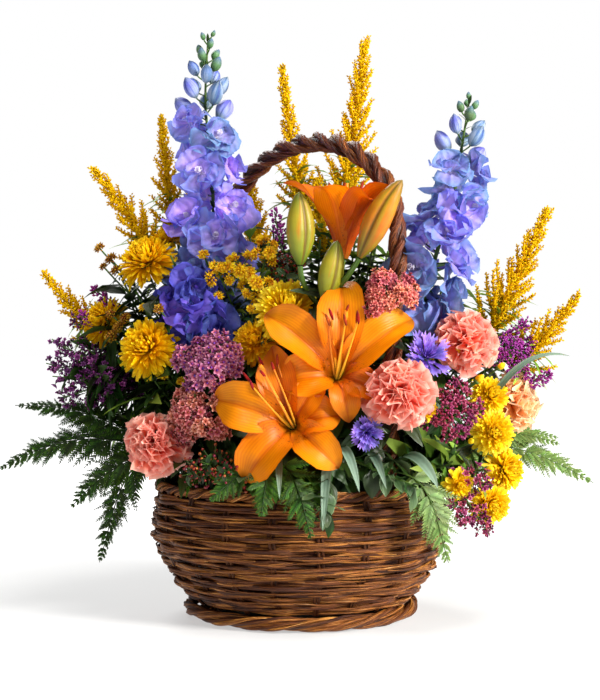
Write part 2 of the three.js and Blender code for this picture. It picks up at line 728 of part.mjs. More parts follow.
// Cornflowers: two ruffs of deeply cut florets on a small scaly base.
function cornflower(name, { centre, face, size, spot }) {
  const [middle, axis] = [at(centre), aim(face)];
  const ring = (tilt, reach) =>
    range(12).map((i) => {
      const cut = Array.isArray(reach) ? reach[i % 2] : reach;
      return step(middle, lean(axis, tilt, (Math.PI * i) / 6), cut * size);
    });
  const foot = step(middle, axis, -0.4 * size);
  const valleys = [ring(2.2, 0.16), ring(1, 0.14), ring(0.3, 0.14)];
  const edges = [ring(1.35, [0.5, 0.26]), ring(0.65, [0.24, 0.44])];
  new Plant(name, LOOK.violet, {
    hearts() {
      occupy(this, skin([[foot], ...valleys]));
    },
    limbs() {
      this.root(spot, step(foot, axis, 5), axis, 1.8);
    },
    details() {
      this.ruffle(foot, valleys, edges);
    },
  });
}
cornflower('cornflower_right', { centre: [116, -128, 258], face: [0.2, -0.85, 0.45], size: 44, spot: [60, -46] });
cornflower('cornflower_front', { centre: [60, -154, 188], face: [0.1, -0.95, -0.1], size: 32, spot: [34, -76] });

// Stonecrops: domed heads of many small florets.
const STONECROP_PROFILE = [[0.1, -0.4], [0.28, -0.22], [0.37, -0.04], [0.35, 0.1], [0.22, 0.22], [0, 0.27]];
function stonecrop(name, look, { centre, face, size, around = 8, spot }) {
  const [middle, axis] = [at(centre), aim(face)];
  const rings = dome(middle, axis, size, STONECROP_PROFILE, around);
  new Plant(name, look, {
    hearts() {
      occupy(this, skin(rings));
    },
    limbs() {
      this.root(spot, step(middle, axis, -0.38 * size), axis, 2);
    },
    details() {
      this.grow(rings, (r, i, base) => {
        const out = between(step(middle, axis, -0.2 * size), base);
        return step(base, out, size * (0.14 + 0.12 * scatter(i + 10 * r, 5)));
      });
    },
  });
}
const STONECROPS = [
  ['stonecrop_mauve', LOOK.mauve, { centre: [-84, -112, 250], face: [-0.2, -0.85, 0.5], size: 58, spot: [-44, -48] }],
  ['stonecrop_pink', LOOK.rose, { centre: [-94, -120, 200], face: [-0.2, -0.95, 0.15], size: 54, spot: [-48, -66] }],
  ['stonecrop_coral', LOOK.coral, { centre: [80, -138, 314], face: [0.15, -0.8, 0.6], size: 44, spot: [38, -50] }],
  ['stonecrop_burgundy', LOOK.burgundy, { centre: [140, -120, 206], face: [0.3, -0.93, 0.2], size: 52, spot: [72, -60] }],
  ['stonecrop_magenta', LOOK.magenta, { centre: [208, -22, 256], face: [0.55, -0.72, 0.4], size: 42, spot: [84, -14] }],
];
for (const entry of STONECROPS) stonecrop(...entry);

// Airy sprays: a forked stem whose twigs end in small heads of florets or berries.
function spray(name, look, { fork, tips, head, length, rows = 4, around = 4, spot }) {
  const from = at(fork);
  const centre = tips.map(at).reduce((sum, p) => sum.add(p), vec(0, 0, 0)).divideScalar(tips.length);
  const heading = between(from, centre);
  const radii = [0.8, 1.5, 1.3, ...range(rows).map((i) => head * 0.42 * Math.sin(Math.PI * (0.25 + (0.6 * i) / rows))), 0];
  return new Plant(name, look, {
    limbs() {
      this.root(spot, from, heading, 2);
      this.twigs = tips.map((tip, k) => {
        const out = between(from, at(tip));
        const make = (u, v) => {
          const [start, bend, end] = bow(step(from, heading, -1.6 - 0.9 * k), out, at(tip), out, 2, vec(u, v, 0));
          const along = between(bend, end);
          return [start, bend, ...range(rows + 2).map((i) => step(end, along, (i / (rows + 1) - 1) * length))];
        };
        const twig = this.way(make, (path) => rod(path, radii, around, 0.5));
        occupy(this, twig.mesh);
        return twig;
      });
    },
    details() {
      for (const [k, { path, rings }] of this.twigs.entries()) {
        this.grow(rings, (r, i, base) => {
          if (r < 2) return null;
          const out = between(step(path[2], between(path[2], path[r]), -0.3 * length), base);
          return step(base, out, head * (0.24 + 0.2 * scatter(i + 5 * r, k)));
        });
      }
    },
  });
}
const SPRAYS = [
  ['statice_left', LOOK.purple, {
    fork: [-164, -24, 226],
    tips: [[-244, -24, 272], [-240, -44, 236], [-226, 8, 300], [-196, -62, 236]],
    head: 24, length: 34, spot: [-88, -20],
  }],
  ['statice_back', LOOK.purple, {
    fork: [-8, 118, 226],
    tips: [[-48, 162, 290], [26, 176, 272], [2, 152, 316]],
    head: 26, length: 34, spot: [-4, 72],
  }],
  ['stonecrop_low', LOOK.burgundy, {
    fork: [138, -84, 146],
    tips: [[176, -108, 90], [150, -132, 102], [176, -124, 138]],
    head: 26, length: 30, spot: [82, -44],
  }],
  ['aster_yellow', LOOK.yellow, {
    fork: [-38, -50, 306],
    tips: [[-60, -72, 348], [-28, -70, 366], [-44, -86, 326], [-80, -80, 344]],
    head: 21, length: 18, rows: 3, around: 3, spot: [-26, -34],
  }],
  ['berries_top', LOOK.berry, {
    fork: [-14, -44, 322],
    tips: [[-24, -60, 354], [-2, -68, 352], [-14, -74, 332]],
    head: 18, length: 18, rows: 3, around: 3, spot: [-6, -24],
  }],
  ['berries_rim', LOOK.berry, {
    fork: [-62, -112, 156],
    tips: [[-102, -146, 150], [-68, -158, 152], [-34, -154, 158]],
    head: 18, length: 20, rows: 3, around: 3, spot: [-40, -78],
  }],
];
for (const entry of SPRAYS) spray(...entry);

// Goldenrod plumes: many short side sprigs, longest below.
function goldenrod(name, { line, width, rows = 9, around = 4, spot }) {
  const curve = new THREE.CatmullRomCurve3(line.map(at));
  const path = curve.getPoints(rows);
  const radii = range(rows + 1).map((i) => (i === rows ? 0 : width * (0.11 - (0.07 * i) / rows)));
  const rings = rod(path, radii, around, 0.5);
  return new Plant(name, LOOK.gold, {
    hearts() {
      occupy(this, skin(rings));
    },
    limbs() {
      this.root(spot, curve.getPoint(0.02), curve.getTangent(0), 2, 3);
    },
    details() {
      this.grow(rings, (r, i, base) => {
        const out = between(mix(path[r], path[r + 1], 0.5), base);
        const far = width * (0.5 - (0.34 * r) / rows) * (0.75 + 0.5 * scatter(i + 7 * r, 7));
        return step(step(base, out, far), between(path[r], path[r + 1]), far * 1.1);
      });
    },
  });
}
const GOLDENRODS = {
  goldenrod_low_left: { line: [[-196, 22, 272], [-226, 12, 300], [-257, 4, 338]], width: 34, rows: 7, spot: [-84, 10] },
  goldenrod_left: { line: [[-142, 40, 338], [-172, 30, 394], [-209, 14, 444]], width: 46, spot: [-66, 22] },
  goldenrod_rear_left: { line: [[-128, 60, 378], [-138, 52, 440], [-143, 44, 501]], width: 36, spot: [-56, 34] },
  goldenrod_behind_handle: { line: [[6, 66, 392], [-8, 64, 472], [-19, 60, 555]], width: 38, spot: [4, 34] },
  goldenrod_tall: { line: [[42, 62, 388], [56, 66, 486], [68, 68, 583]], width: 58, around: 5, spot: [24, 22] },
  goldenrod_inner: { line: [[24, 30, 352], [22, 38, 398], [18, 46, 436]], width: 40, rows: 7, spot: [8, 8] },
  goldenrod_right: { line: [[186, 22, 268], [218, 16, 332], [249, 10, 401]], width: 56, around: 5, spot: [82, 16] },
  goldenrod_low_right: { line: [[212, 6, 240], [244, -2, 274], [276, -8, 314]], width: 42, rows: 7, spot: [92, 8] },
  goldenrod_back: { line: [[-40, 98, 330], [-48, 112, 394], [-56, 122, 452]], width: 42, spot: [-20, 46] },
};
for (const [name, place] of Object.entries(GOLDENRODS)) goldenrod(name, place);

// Fern or cedar fronds from one hub. Each frond: where its tip is, how far it arches up, its leaflets' length and pairs.
function fronds(name, look, { hub, heading, facing, spot, leaves }) {
  const [from, axis] = [at(hub), aim(heading)];
  return new Plant(name, look, {
    limbs() {
      this.root(spot, from, axis, 2);
      this.ribs = leaves.map(({ tip, arch, pairs }, k) => {
        const end = at(tip);
        const [out, arrive] = [arch, -arch].map((bend) => between(from, end).addScaledVector(UP, bend).normalize());
        const halves = range(pairs + 1).map((i) => (i === pairs ? 0 : 1.6 - (0.8 * i) / pairs));
        const make = (u, v) => bow(step(from, axis, -2 - k), out, end, arrive, pairs, vec(u * 0.5, v * 0.5, u * 0.5));
        const found = this.way(make, (path) => strip(path, halves, 1.6, aim(facing)));
        occupy(this, found.mesh);
        return found;
      });
    },
    details() {
      leaves.forEach(({ length, pairs }, k) => {
        const { path, rings } = this.ribs[k];
        this.grow(rings, (r, i, base) => {
          if (r === 0 || r === pairs - 1 || i % 2 === 0) return null;
          const tangent = between(path[r], path[r + 1]);
          const side = tangent.clone().cross(aim(facing)).normalize().multiplyScalar(i === 1 ? 1 : -1);
          const far = length * Math.sin(Math.PI * (0.28 + (0.7 * r) / pairs)) ** 0.8;
          return step(base, side.addScaledVector(tangent, 0.8).addScaledVector(aim(facing), -0.15).normalize(), far);
        });
      });
    },
  });
}
const FRONDS = [
  ['fern_left', LOOK.fern, {
    hub: [-128, -30, 158], heading: [-0.9, -0.2, 0.3], facing: [0.2, -0.9, 0.5], spot: [-86, -34],
    leaves: [
      { tip: [-284, -4, 206], arch: 0.3, length: 28, pairs: 11 },
      { tip: [-298, -20, 143], arch: 0.5, length: 32, pairs: 11 },
      { tip: [-218, -70, 112], arch: 0.5, length: 28, pairs: 9 },
      { tip: [-196, -34, 54], arch: 0.9, length: 32, pairs: 11 },
    ],
  }],
  ['fern_right', LOOK.fern, {
    hub: [132, 26, 160], heading: [0.9, 0.1, 0.3], facing: [-0.2, -0.85, 0.6], spot: [90, 20],
    leaves: [
      { tip: [288, 2, 143], arch: 0.4, length: 28, pairs: 11 },
      { tip: [268, 44, 170], arch: 0.3, length: 26, pairs: 10 },
      { tip: [226, 84, 118], arch: 0.5, length: 28, pairs: 10 },
    ],
  }],
  ['fern_front', LOOK.fern, {
    hub: [-24, -128, 161], heading: [-0.1, -0.9, 0.3], facing: [0, -0.9, 0.4], spot: [-18, -88],
    leaves: [
      { tip: [10, -176, 96], arch: 0.7, length: 26, pairs: 8 },
      { tip: [-34, -178, 116], arch: 0.6, length: 24, pairs: 8 },
      { tip: [-74, -170, 138], arch: 0.4, length: 22, pairs: 8 },
    ],
  }],
  ['cedar_front', LOOK.cedar, {
    hub: [88, -118, 150], heading: [0.4, -0.8, 0.4], facing: [0.3, -0.9, 0.3], spot: [58, -80],
    leaves: [{ tip: [134, -142, 70], arch: 0.8, length: 28, pairs: 10 }],
  }],
  ['fern_back', LOOK.fern, {
    hub: [4, 124, 164], heading: [0, 0.9, 0.35], facing: [0, 0.6, 0.8], spot: [4, 86],
    leaves: [
      { tip: [-110, 196, 150], arch: 0.4, length: 30, pairs: 10 },
      { tip: [4, 214, 128], arch: 0.5, length: 30, pairs: 10 },
      { tip: [112, 180, 140], arch: 0.4, length: 30, pairs: 10 },
    ],
  }],
];
for (const entry of FRONDS) fronds(...entry);

// Eucalyptus twigs with broad leaves set in turn along them.
function eucalyptus(name, { hub, tip, spot, leaves, size }) {
  const [from, end] = [at(hub), at(tip)];
  const axis = between(from, end);
  return new Plant(name, LOOK.eucalyptus, {
    limbs() {
      this.root(spot, from, axis, 2.2);
      const make = (u, v) => bow(step(from, axis, -3), axis, end, axis, 3, vec(u, v, 0));
      this.twig = this.limb(make, (path) => rod(path, [2, 1.8, 1.5, 1.1]));
    },
    details() {
      const curve = new THREE.CatmullRomCurve3(this.twig.path);
      range(leaves).forEach((i) => {
        const t = (i + 0.4) / leaves;
        const out = lean(curve.getTangent(t), 1.0, i * 2.2 + 0.4).addScaledVector(UP, -0.25).normalize();
        const facing = UP.clone().addScaledVector(out, -UP.dot(out)).normalize();
        const length = size * (0.8 + 0.4 * scatter(i, 4));
        this.fit((share) => {
          const line = rib(step(curve.getPoint(t), out, -1), out, facing, length * share, -0.5, 2);
          return skin(leaf(line, [0, 0.21 * length * share, 0], facing, 1.8, 0.12));
        });
      });
    },
  });
}
eucalyptus('eucalyptus_front', { hub: [42, -124, 164], tip: [104, -156, 140], spot: [38, -88], leaves: 8, size: 44 });
eucalyptus('eucalyptus_low', { hub: [24, -134, 160], tip: [22, -172, 112], spot: [14, -92], leaves: 5, size: 46 });
eucalyptus('eucalyptus_back', { hub: [-108, 62, 168], tip: [-172, 100, 192], spot: [-72, 48], leaves: 7, size: 46 });

// The arrangement goes together in three rounds: hearts, then stems, then petals, each clear of what is there already.
for (const plant of plants) plant.hearts?.();
for (const plant of plants) plant.limbs?.();
const foam = occupy('floral_foam', turned(foamProfile, LINER.around));
for (const plant of plants) plant.details?.();

const largest = (solid) => solid.decompose().sort((a, b) => b.volume() - a.volume())[0];
const holes = plants.flatMap(({ stems }) => stems.map(solidOf));

const arrangement = new THREE.Group();
function show({ name, look, solid }) {
  const mesh = new THREE.Mesh(geometryOf(solid), look);
  mesh.name = name;
  arrangement.add(mesh);
}
basket.forEach(show);
show({ name: 'floral_foam', look: LOOK.foam, solid: largest(foam.subtract(wasm.Manifold.union(holes))) });
for (const { name, look, parts } of plants) show({ name, look, solid: largest(wasm.Manifold.union(parts)) });

export default arrangement;
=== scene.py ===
# The looks of a round wicker basket with a twisted handle and its dense arrangement of cut flowers.
# Places and sizes in the tables and in the basket's functions are millimetres in the frame's axes.
# What is built is in metres, and sizes inside a bloom are shares of its own size.
import math

import bpy
import numpy as np
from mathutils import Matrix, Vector


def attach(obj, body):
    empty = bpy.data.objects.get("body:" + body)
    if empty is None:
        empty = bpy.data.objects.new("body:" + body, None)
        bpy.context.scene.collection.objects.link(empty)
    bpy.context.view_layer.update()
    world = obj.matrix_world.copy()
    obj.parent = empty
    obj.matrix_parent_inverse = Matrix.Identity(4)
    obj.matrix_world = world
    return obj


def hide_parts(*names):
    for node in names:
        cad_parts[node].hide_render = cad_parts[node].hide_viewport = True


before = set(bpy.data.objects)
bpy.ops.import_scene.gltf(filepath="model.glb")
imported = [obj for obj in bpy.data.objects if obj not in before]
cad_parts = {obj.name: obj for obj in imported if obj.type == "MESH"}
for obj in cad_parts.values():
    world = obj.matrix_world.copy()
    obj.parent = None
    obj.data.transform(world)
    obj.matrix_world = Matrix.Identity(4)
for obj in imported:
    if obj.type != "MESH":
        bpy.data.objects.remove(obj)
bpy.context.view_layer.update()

MM = 0.001
TURN = 2 * math.pi
GOLDEN_ANGLE = math.pi * (3 - math.sqrt(5))
UP = np.array([0.0, 0, 1])

# Where the photograph was taken from
CAMERA = {"distance": 1450, "height": 272, "pitch": 0.43, "lens": 74.6, "sensor": 36}

# Basket. In the ropes of its rings and handle, `offset` is how far a strand lies from the rope's middle,
# `spread` how far a rod lies from its strand's middle, and `own` how often a strand turns in each turn.
WALL = {"bottom": 16.4, "top": 122, "bulge": 146.5, "bulge_height": 97, "flare": 0.0057, "thick": 7}
FOOT = {
    "radius": 110, "height": 8.0, "rows": 130, "turns": 4, "offset": 3.4, "rods": 4, "spread": 2.3,
    "thick": 2.2, "own": 0.75}
RIM = {
    "radius": 139.5, "height": 128.2, "rows": 170, "turns": 13, "offset": 3.0, "rods": 3, "spread": 1.7,
    "thick": 1.7, "own": 0.75}
BASE = {
    "radius": 102, "middle": 3.6, "stakes": 9, "stake_pitch": 20, "rings": 26, "first": 4, "ring_pitch": 3.8}
HANDLE = {
    "turn": -50, "centre": 9, "span": 131, "spring": 372, "apex": 467, "pitch": 86, "slim": 0.83, "rows": 170,
    "offset": 5.9, "rods": 5, "spread": 2.6, "thick": 2.0, "own": 0.9}
LEG = [[119.5, 60], [126.2, 90], [126.4, 136], [128, 165]]
STAKES = 20
STAKE_SPAN = [15, 124]
STAKE_RADIUS = 1.7
FIRST_STAKE = math.radians(-100.3)
HALF_PAIR = 0.014  # half the angle between the two stakes of a pair
SHADE_SHEET_SPAN = [17, 122]
SHADE_SHEET_DEPTH = 3.4
ROWS = 18
ROW_SPAN = [17.6, 124]
SWING = 2.8  # how far a rod passes before and behind the stakes
ROW_BULGE = 1.9
OVERLAP = 0.22
# Split rods of a row: least radius, what chance adds, how far they stand out, and their height in the row
SPLIT_RODS = [[1.4, 1.1, 0.2, 1.0], [1.0, 1.1, 0.7, -1.9], [0.6, 0.9, 1.5, 2.2]]
FOAM_TOP = 150
STEM_DEPTH = 34
INWARD = 0.72  # how far out a stem's foot lies, as a share of its hole's distance from the middle
STRAIGHT = 6  # how far a stem goes straight on above the foam

# Lilies: tepals are [angle round the face in degrees, length, width]
OPENNESS = {
    "wide": [[0.06, 0], [0.16, 0.34], [0.55, 0.5], [1, 0.26]],
    "trumpet": [[0.06, 0], [0.14, 0.36], [0.3, 0.66], [0.72, 0.9]],
}
LILIES = {
    "lily_front_left": {
        "base": [-6, -134, 193], "face": [-0.13, -0.93, 0.22], "openness": "wide", "spot": [-4, -76],
        "tepals": [[163, 76, 42], [106, 74, 38], [232, 66, 42], [318, 58, 40], [12, 44, 34], [58, 50, 30]],
        "stamens": [-0.42, -0.42, 0.8],
    },
    "lily_front_right": {
        "base": [34, -130, 237], "face": [0.02, -0.93, 0.3], "openness": "wide", "spot": [20, -66],
        "tepals": [[87, 90, 40], [140, 86, 44], [190, 52, 38], [283, 44, 30], [335, 42, 30], [37, 86, 44]],
        "stamens": [0.1, -0.5, 0.86],
    },
    "lily_back": {
        "base": [40, -98, 347], "face": [0.06, -0.04, 1], "openness": "trumpet", "spot": None,
        "tepals": [[-38, 84, 34], [58, 82, 34], [114, 80, 32], [172, 84, 28], [244, 76, 34], [290, 78, 34]],
        "stamens": [0.05, -0.04, 1],
    },
}
BUDS = {
    "lily_bud_left": {"base": [0, -122, 340], "tip": [-1, -128, 406], "width": 27, "ripe": 0.25},
    "lily_bud_centre": {"base": [22, -118, 306], "tip": [34, -126, 362], "width": 23, "ripe": 0.0},
    "lily_bud_right": {"base": [54, -134, 346], "tip": [92, -146, 415], "width": 27, "ripe": 1.0},
}
LILY_FORK = [22, -88, 284]
LILY_SPOT = [14, -46]

DELPHINIUMS = {
    "delphinium_left": {
        "line": [[-80, -14, 300], [-85, -8, 360], [-88, 0, 441], [-95, 10, 508], [-93, 16, 574]],
        "florets": 18, "buds": 19, "reach": 25, "size": 30, "spot": [-36, -6],
    },
    "delphinium_right": {
        "line": [[112, -76, 288], [126, -88, 345], [143, -84, 400], [153, -74, 452], [161, -66, 497]],
        "florets": 14, "buds": 13, "reach": 22, "size": 28, "spot": [56, -28],
    },
    "delphinium_low": {
        "line": [[-90, -66, 268], [-104, -66, 305], [-124, -58, 352]],
        "florets": 10, "buds": 0, "reach": 19, "size": 28, "spot": [-54, -30], "deep": True,
    },
}

# Heads on one stem each: centre, face, size and the stem's spot on the foam
CARNATIONS = {
    "carnation_front": [[88, -154, 225], [0.12, -0.92, 0.36], 68, [48, -62]],
    "carnation_left": [[-136, -104, 176], [-0.5, -0.84, 0.12], 66, [-62, -58]],
    "carnation_right": [[156, -94, 270], [0.4, -0.8, 0.35], 66, [66, -42]],
    "carnation_peach": [[214, -8, 210], [0.9, -0.35, 0.16], 66, [84, 0]],
    "carnation_back": [[58, 138, 250], [0.3, 0.85, 0.36], 64, [36, 66]],
}
CORNFLOWERS = {
    "cornflower_right": [[116, -128, 258], [0.2, -0.85, 0.45], 44, [60, -46]],
    "cornflower_front": [[60, -154, 188], [0.1, -0.95, -0.1], 32, [34, -76]],
}
STONECROPS = {
    "stonecrop_mauve": [[-84, -112, 250], [-0.2, -0.85, 0.5], 58, [-44, -48]],
    "stonecrop_pink": [[-94, -120, 200], [-0.2, -0.95, 0.15], 54, [-48, -66]],
    "stonecrop_coral": [[80, -138, 314], [0.15, -0.8, 0.6], 44, [38, -50]],
    "stonecrop_burgundy": [[140, -120, 206], [0.3, -0.93, 0.2], 52, [72, -60]],
    "stonecrop_magenta": [[208, -22, 256], [0.55, -0.72, 0.4], 42, [84, -14]],
}
CHRYSANTHEMUMS = {
    "chrysanthemum_left": {"heads": [[[-146, -88, 266], [-0.3, -0.9, 0.28], 58]], "spot": [-72, -40]},
    "chrysanthemum_centre": {"heads": [[[-10, -104, 305], [0.15, -0.8, 0.58], 62]], "spot": [-10, -52]},
    "chrysanthemum_far_left": {"heads": [[[-198, -20, 290], [-0.7, -0.65, 0.3], 52]], "spot": [-76, -4]},
    "chrysanthemum_top_left": {
        "heads": [[[-153, -28, 354], [-0.35, -0.6, 0.7], 60], [[-134, 22, 376], [-0.3, -0.1, 0.95], 46]],
        "fork": [-110, 4, 296], "spot": [-52, -14],
    },
    "chrysanthemum_back_left": {"heads": [[[-72, 124, 268], [-0.35, 0.8, 0.45], 56]], "spot": [-38, 60]},
    "chrysanthemum_back_right": {"heads": [[[132, 96, 246], [0.6, 0.7, 0.35], 54]], "spot": [62, 44]},
    "chrysanthemum_spray": {
        "heads": [
            [[184, -60, 220], [0.35, -0.82, 0.4], 40], [[184, -80, 184], [0.2, -0.96, 0.1], 43],
            [[200, -64, 147], [0.62, -0.75, 0.08], 44], [[182, -78, 114], [0.3, -0.9, -0.2], 42],
        ],
        "fork": [150, -46, 176], "spot": [78, -22],
    },
    "button_flower": {"heads": [[[-43, -100, 272], [-0.25, -0.85, 0.4], 44]], "spot": [-24, -58]},
}
# Sprays: fork, the twigs' tips, the width and length of their heads, the stem's spot
SPRAYS = {
    "statice_left": [[-164, -24, 226], [
        [-244, -24, 272], [-240, -44, 236], [-226, 8, 300], [-196, -62, 236], [-206, -36, 262],
        [-212, -30, 208], [-238, -20, 214], [-224, -40, 254], [-252, -10, 248]], 28, 36, [-88, -20]],
    "statice_back": [[-8, 118, 226], [[-48, 162, 290], [26, 176, 272], [2, 152, 316]], 26, 34, [-4, 72]],
    "stonecrop_low": [[138, -84, 146], [
        [176, -108, 90], [150, -132, 102], [176, -124, 138]], 26, 30, [82, -44]],
    "aster_yellow": [[-38, -50, 306], [
        [-60, -72, 348], [-28, -70, 366], [-44, -86, 326], [-80, -80, 344]], 21, 18, [-26, -34]],
    "berries_top": [[-14, -44, 322], [[-24, -60, 354], [-2, -68, 352], [-14, -74, 332]], 18, 18, [-6, -24]],
    "berries_rim": [[-62, -112, 156], [
        [-102, -146, 150], [-68, -158, 152], [-40, -146, 146], [-84, -150, 160]], 26, 26, [-40, -78]],
}
# Goldenrod plumes: line, width and the stem's spot
GOLDENRODS = {
    "goldenrod_low_left": [[[-196, 22, 272], [-226, 12, 300], [-257, 4, 338]], 34, [-84, 10]],
    "goldenrod_left": [[[-142, 40, 338], [-172, 30, 394], [-209, 14, 444]], 46, [-66, 22]],
    "goldenrod_rear_left": [[[-128, 60, 378], [-138, 52, 440], [-143, 44, 501]], 36, [-56, 34]],
    "goldenrod_behind_handle": [[[6, 66, 392], [-8, 64, 472], [-19, 60, 555]], 38, [4, 34]],
    "goldenrod_tall": [[[42, 62, 388], [56, 66, 486], [68, 68, 583]], 58, [24, 22]],
    "goldenrod_inner": [[[24, 30, 352], [22, 38, 398], [18, 46, 436]], 40, [8, 8]],
    "goldenrod_right": [[[186, 22, 268], [218, 16, 332], [249, 10, 401]], 56, [82, 16]],
    "goldenrod_low_right": [[[212, 6, 240], [244, -2, 274], [276, -8, 314]], 42, [92, 8]],
    "goldenrod_back": [[[-40, 98, 330], [-48, 112, 394], [-56, 122, 452]], 42, [-20, 46]],
}
# Fronds: hub, the side they face, and for each frond its tip, arch and leaflet length
FRONDS = {
    "fern_left": [[-128, -30, 158], [0.2, -0.9, 0.5], [-86, -34], [
        [[-284, -4, 206], 0.3, 28], [[-298, -20, 143], 0.5, 32], [[-218, -70, 112], 0.5, 28],
        [[-196, -34, 54], 0.9, 32]]],
    "fern_right": [[132, 26, 160], [-0.2, -0.85, 0.6], [90, 20], [
        [[294, 2, 128], 0.4, 34], [[262, 12, 166], 0.4, 26], [[268, 54, 170], 0.3, 28],
        [[226, 84, 118], 0.5, 28]]],
    "fern_front": [[-24, -128, 161], [0, -0.9, 0.4], [-18, -88], [
        [[10, -176, 96], 0.7, 26], [[-34, -178, 116], 0.6, 24], [[-80, -166, 128], 0.3, 22]]],
    "cedar_front": [[88, -118, 150], [0.3, -0.9, 0.3], [58, -80], [[[134, -142, 70], 0.8, 28]]],
    "fern_back": [[4, 124, 164], [0, 0.6, 0.8], [4, 86], [
        [[-110, 196, 150], 0.4, 30], [[4, 214, 128], 0.5, 30], [[112, 180, 140], 0.4, 30]]],
}
# Twigs of broad leaves: hub, tip, the stem's spot, leaves and their size
EUCALYPTUS = {
    "eucalyptus_front": [[42, -124, 164], [104, -156, 140], [38, -88], 30, 36],
    "eucalyptus_low": [[24, -134, 160], [22, -172, 112], [14, -92], 18, 36],
    "eucalyptus_back": [[-108, 62, 168], [-172, 100, 192], [-72, 48], 21, 40],
}
# Leafy twigs that reach up between the tall flowers
TALL_TWIGS = [
    [64, 18, 338], [92, 8, 334], [112, -22, 322], [-62, 34, 334], [-104, 4, 332], [-132, 28, 316],
    [132, 30, 306], [152, 0, 292], [-162, 20, 300], [24, 56, 344], [-22, 62, 340], [80, 50, 350],
    [-126, -30, 300], [-168, -30, 268], [176, 20, 268], [-60, -20, 316], [50, -40, 300], [-90, 70, 320],
    [104, 70, 310], [-186, 0, 250], [70, 42, 376], [90, 32, 362], [46, 52, 384], [28, 62, 376],
    [104, 8, 352], [60, -6, 352], [-190, -6, 300], [-178, 12, 322], [-208, 4, 276], [20, 4, 372],
    [36, -10, 376], [54, -22, 368], [70, -32, 358], [86, -40, 348], [98, -34, 342], [30, 20, 356],
    [60, 10, 345], [44, -6, 350], [76, -10, 368], [24, -32, 338], [60, -46, 338], [-40, 42, 372],
    [-28, 46, 390], [-52, 36, 382], [-14, 48, 360], [-34, 38, 350], [-64, -2, 362], [-56, -18, 346],
    [150, -84, 166], [162, -74, 150], [142, -98, 158], [-150, -58, 222], [-128, -78, 214], [-164, -40, 240],
    [-142, -70, 238], [-176, -10, 330], [-160, -30, 318], [-150, -6, 336], [-190, -30, 292],
    [-140, -44, 314], [140, 26, 346], [150, 30, 334], [160, 26, 318], [92, 44, 350], [102, 34, 336],
    [-186, 8, 208], [-172, 22, 196], [-192, -8, 184],
]
# Purple spikes: tip and length
PURPLE_SPIKES = [
    [[-206, 0, 322], 34], [[-196, -12, 312], 30], [[-26, 34, 402], 36], [[-20, 40, 388], 28],
    [[226, -14, 290], 30], [[246, -22, 238], 26], [[232, -10, 272], 26], [[-216, -24, 296], 30],
]
# Small stalked blooms between the large ones: places, or centre, face and size
YELLOW_BUTTONS = [
    [-78, -72, 338], [-77, -76, 312], [-92, -60, 352], [-46, -96, 300], [-128, -80, 238], [-112, -84, 232],
    [-150, -64, 302],
]
BROWN_BUTTONS = [
    [-201, 8, 363], [-189, 4, 352], [-183, 0, 340], [-196, 0, 344], [-183, -44, 296], [-175, -48, 284],
    [-182, -44, 274], [-168, -52, 292], [-132, -88, 300],
]
DAISIES = [
    [[116, -132, 208], [0.3, -0.9, 0.2], 24], [[148, -116, 138], [0.3, -0.9, 0], 30],
    [[120, -70, 262], [0, -0.8, 0.6], 20],
]
YELLOW_BUDS = [
    [[164, -92, 232], [0.7, -0.4, 0.6], 11], [[186, -84, 244], [0.6, -0.5, 0.5], 10],
    [[174, -96, 150], [0.5, -0.8, 0.1], 11], [[158, -100, 176], [0.2, -0.9, 0.3], 9],
    [[146, -96, 258], [0.2, -0.5, 0.8], 9],
]
# Long leaves over the rim: root, tip and width
LONG_LEAVES = [
    [[28, -112, 166], [20, -172, 104], 9], [[34, -118, 172], [52, -176, 138], 9],
    [[36, -110, 170], [78, -160, 188], 8], [[92, -104, 160], [122, -160, 140], 14],
    [[60, -110, 164], [76, -168, 140], 8], [[170, -50, 190], [256, -70, 256], 7],
    [[-20, -112, 160], [-18, -172, 132], 7],
]


# Vectors

def mm(place):
    return np.asarray(place, float) * MM


def joined(values):
    """Joins the first two axes of an array."""
    return values.reshape(-1, *values.shape[2:])


def unit(v):
    v = np.asarray(v, float)
    return v / np.maximum(np.linalg.norm(v, axis=-1, keepdims=True), 1e-12)


def dot(a, b):
    return np.sum(a * b, axis=-1, keepdims=True)


def scatter(i, channel):
    """A repeatable value from 0 to 1, from the last digits of a sine."""
    step, channel_step, zoom = 12.9898, 78.233, 43758.5453
    value = np.sin(np.asarray(i, float) * step + channel * channel_step) * zoom
    return value - np.floor(value)


def draws(name):
    """A source of random numbers of its own for each piece."""
    return np.random.default_rng(sum(ord(c) * (i + 1) for i, c in enumerate(name)))


def across(axis):
    """Two directions at right angles to an axis: sideways, and as near to up as there is."""
    axis = np.asarray(axis, float)
    steep = np.abs(axis[..., 2:]) >= 0.95
    side = unit(np.cross(np.where(steep, [0.0, 1, 0], UP), axis))
    return side, np.cross(axis, side)


def level(angle):
    """Level directions at angles round the basket's axis."""
    return np.stack([np.cos(angle), np.sin(angle), 0 * angle], axis=-1)


def lean(axis, tilt, angle):
    """The direction that leans `tilt` away from an axis, at an angle round it."""
    side, up = across(axis)
    tilt, angle = (x[..., None] for x in np.broadcast_arrays(tilt, angle))
    return np.cos(tilt) * axis + np.sin(tilt) * (np.cos(angle) * side + np.sin(angle) * up)


def facing(axis, direction):
    """The side of a petal that looks to an axis."""
    return unit(axis - dot(axis, direction) * direction)


def bezier(points, count):
    """A cubic curve through one list of four points, or through many at once."""
    points = np.asarray(points, float)
    t = np.linspace(0, 1, count)[:, None]
    a, b, c, d = (points[..., k, None, :] for k in range(4))
    return a * (1 - t) ** 3 + 3 * b * (1 - t) ** 2 * t + 3 * c * (1 - t) * t ** 2 + d * t ** 3


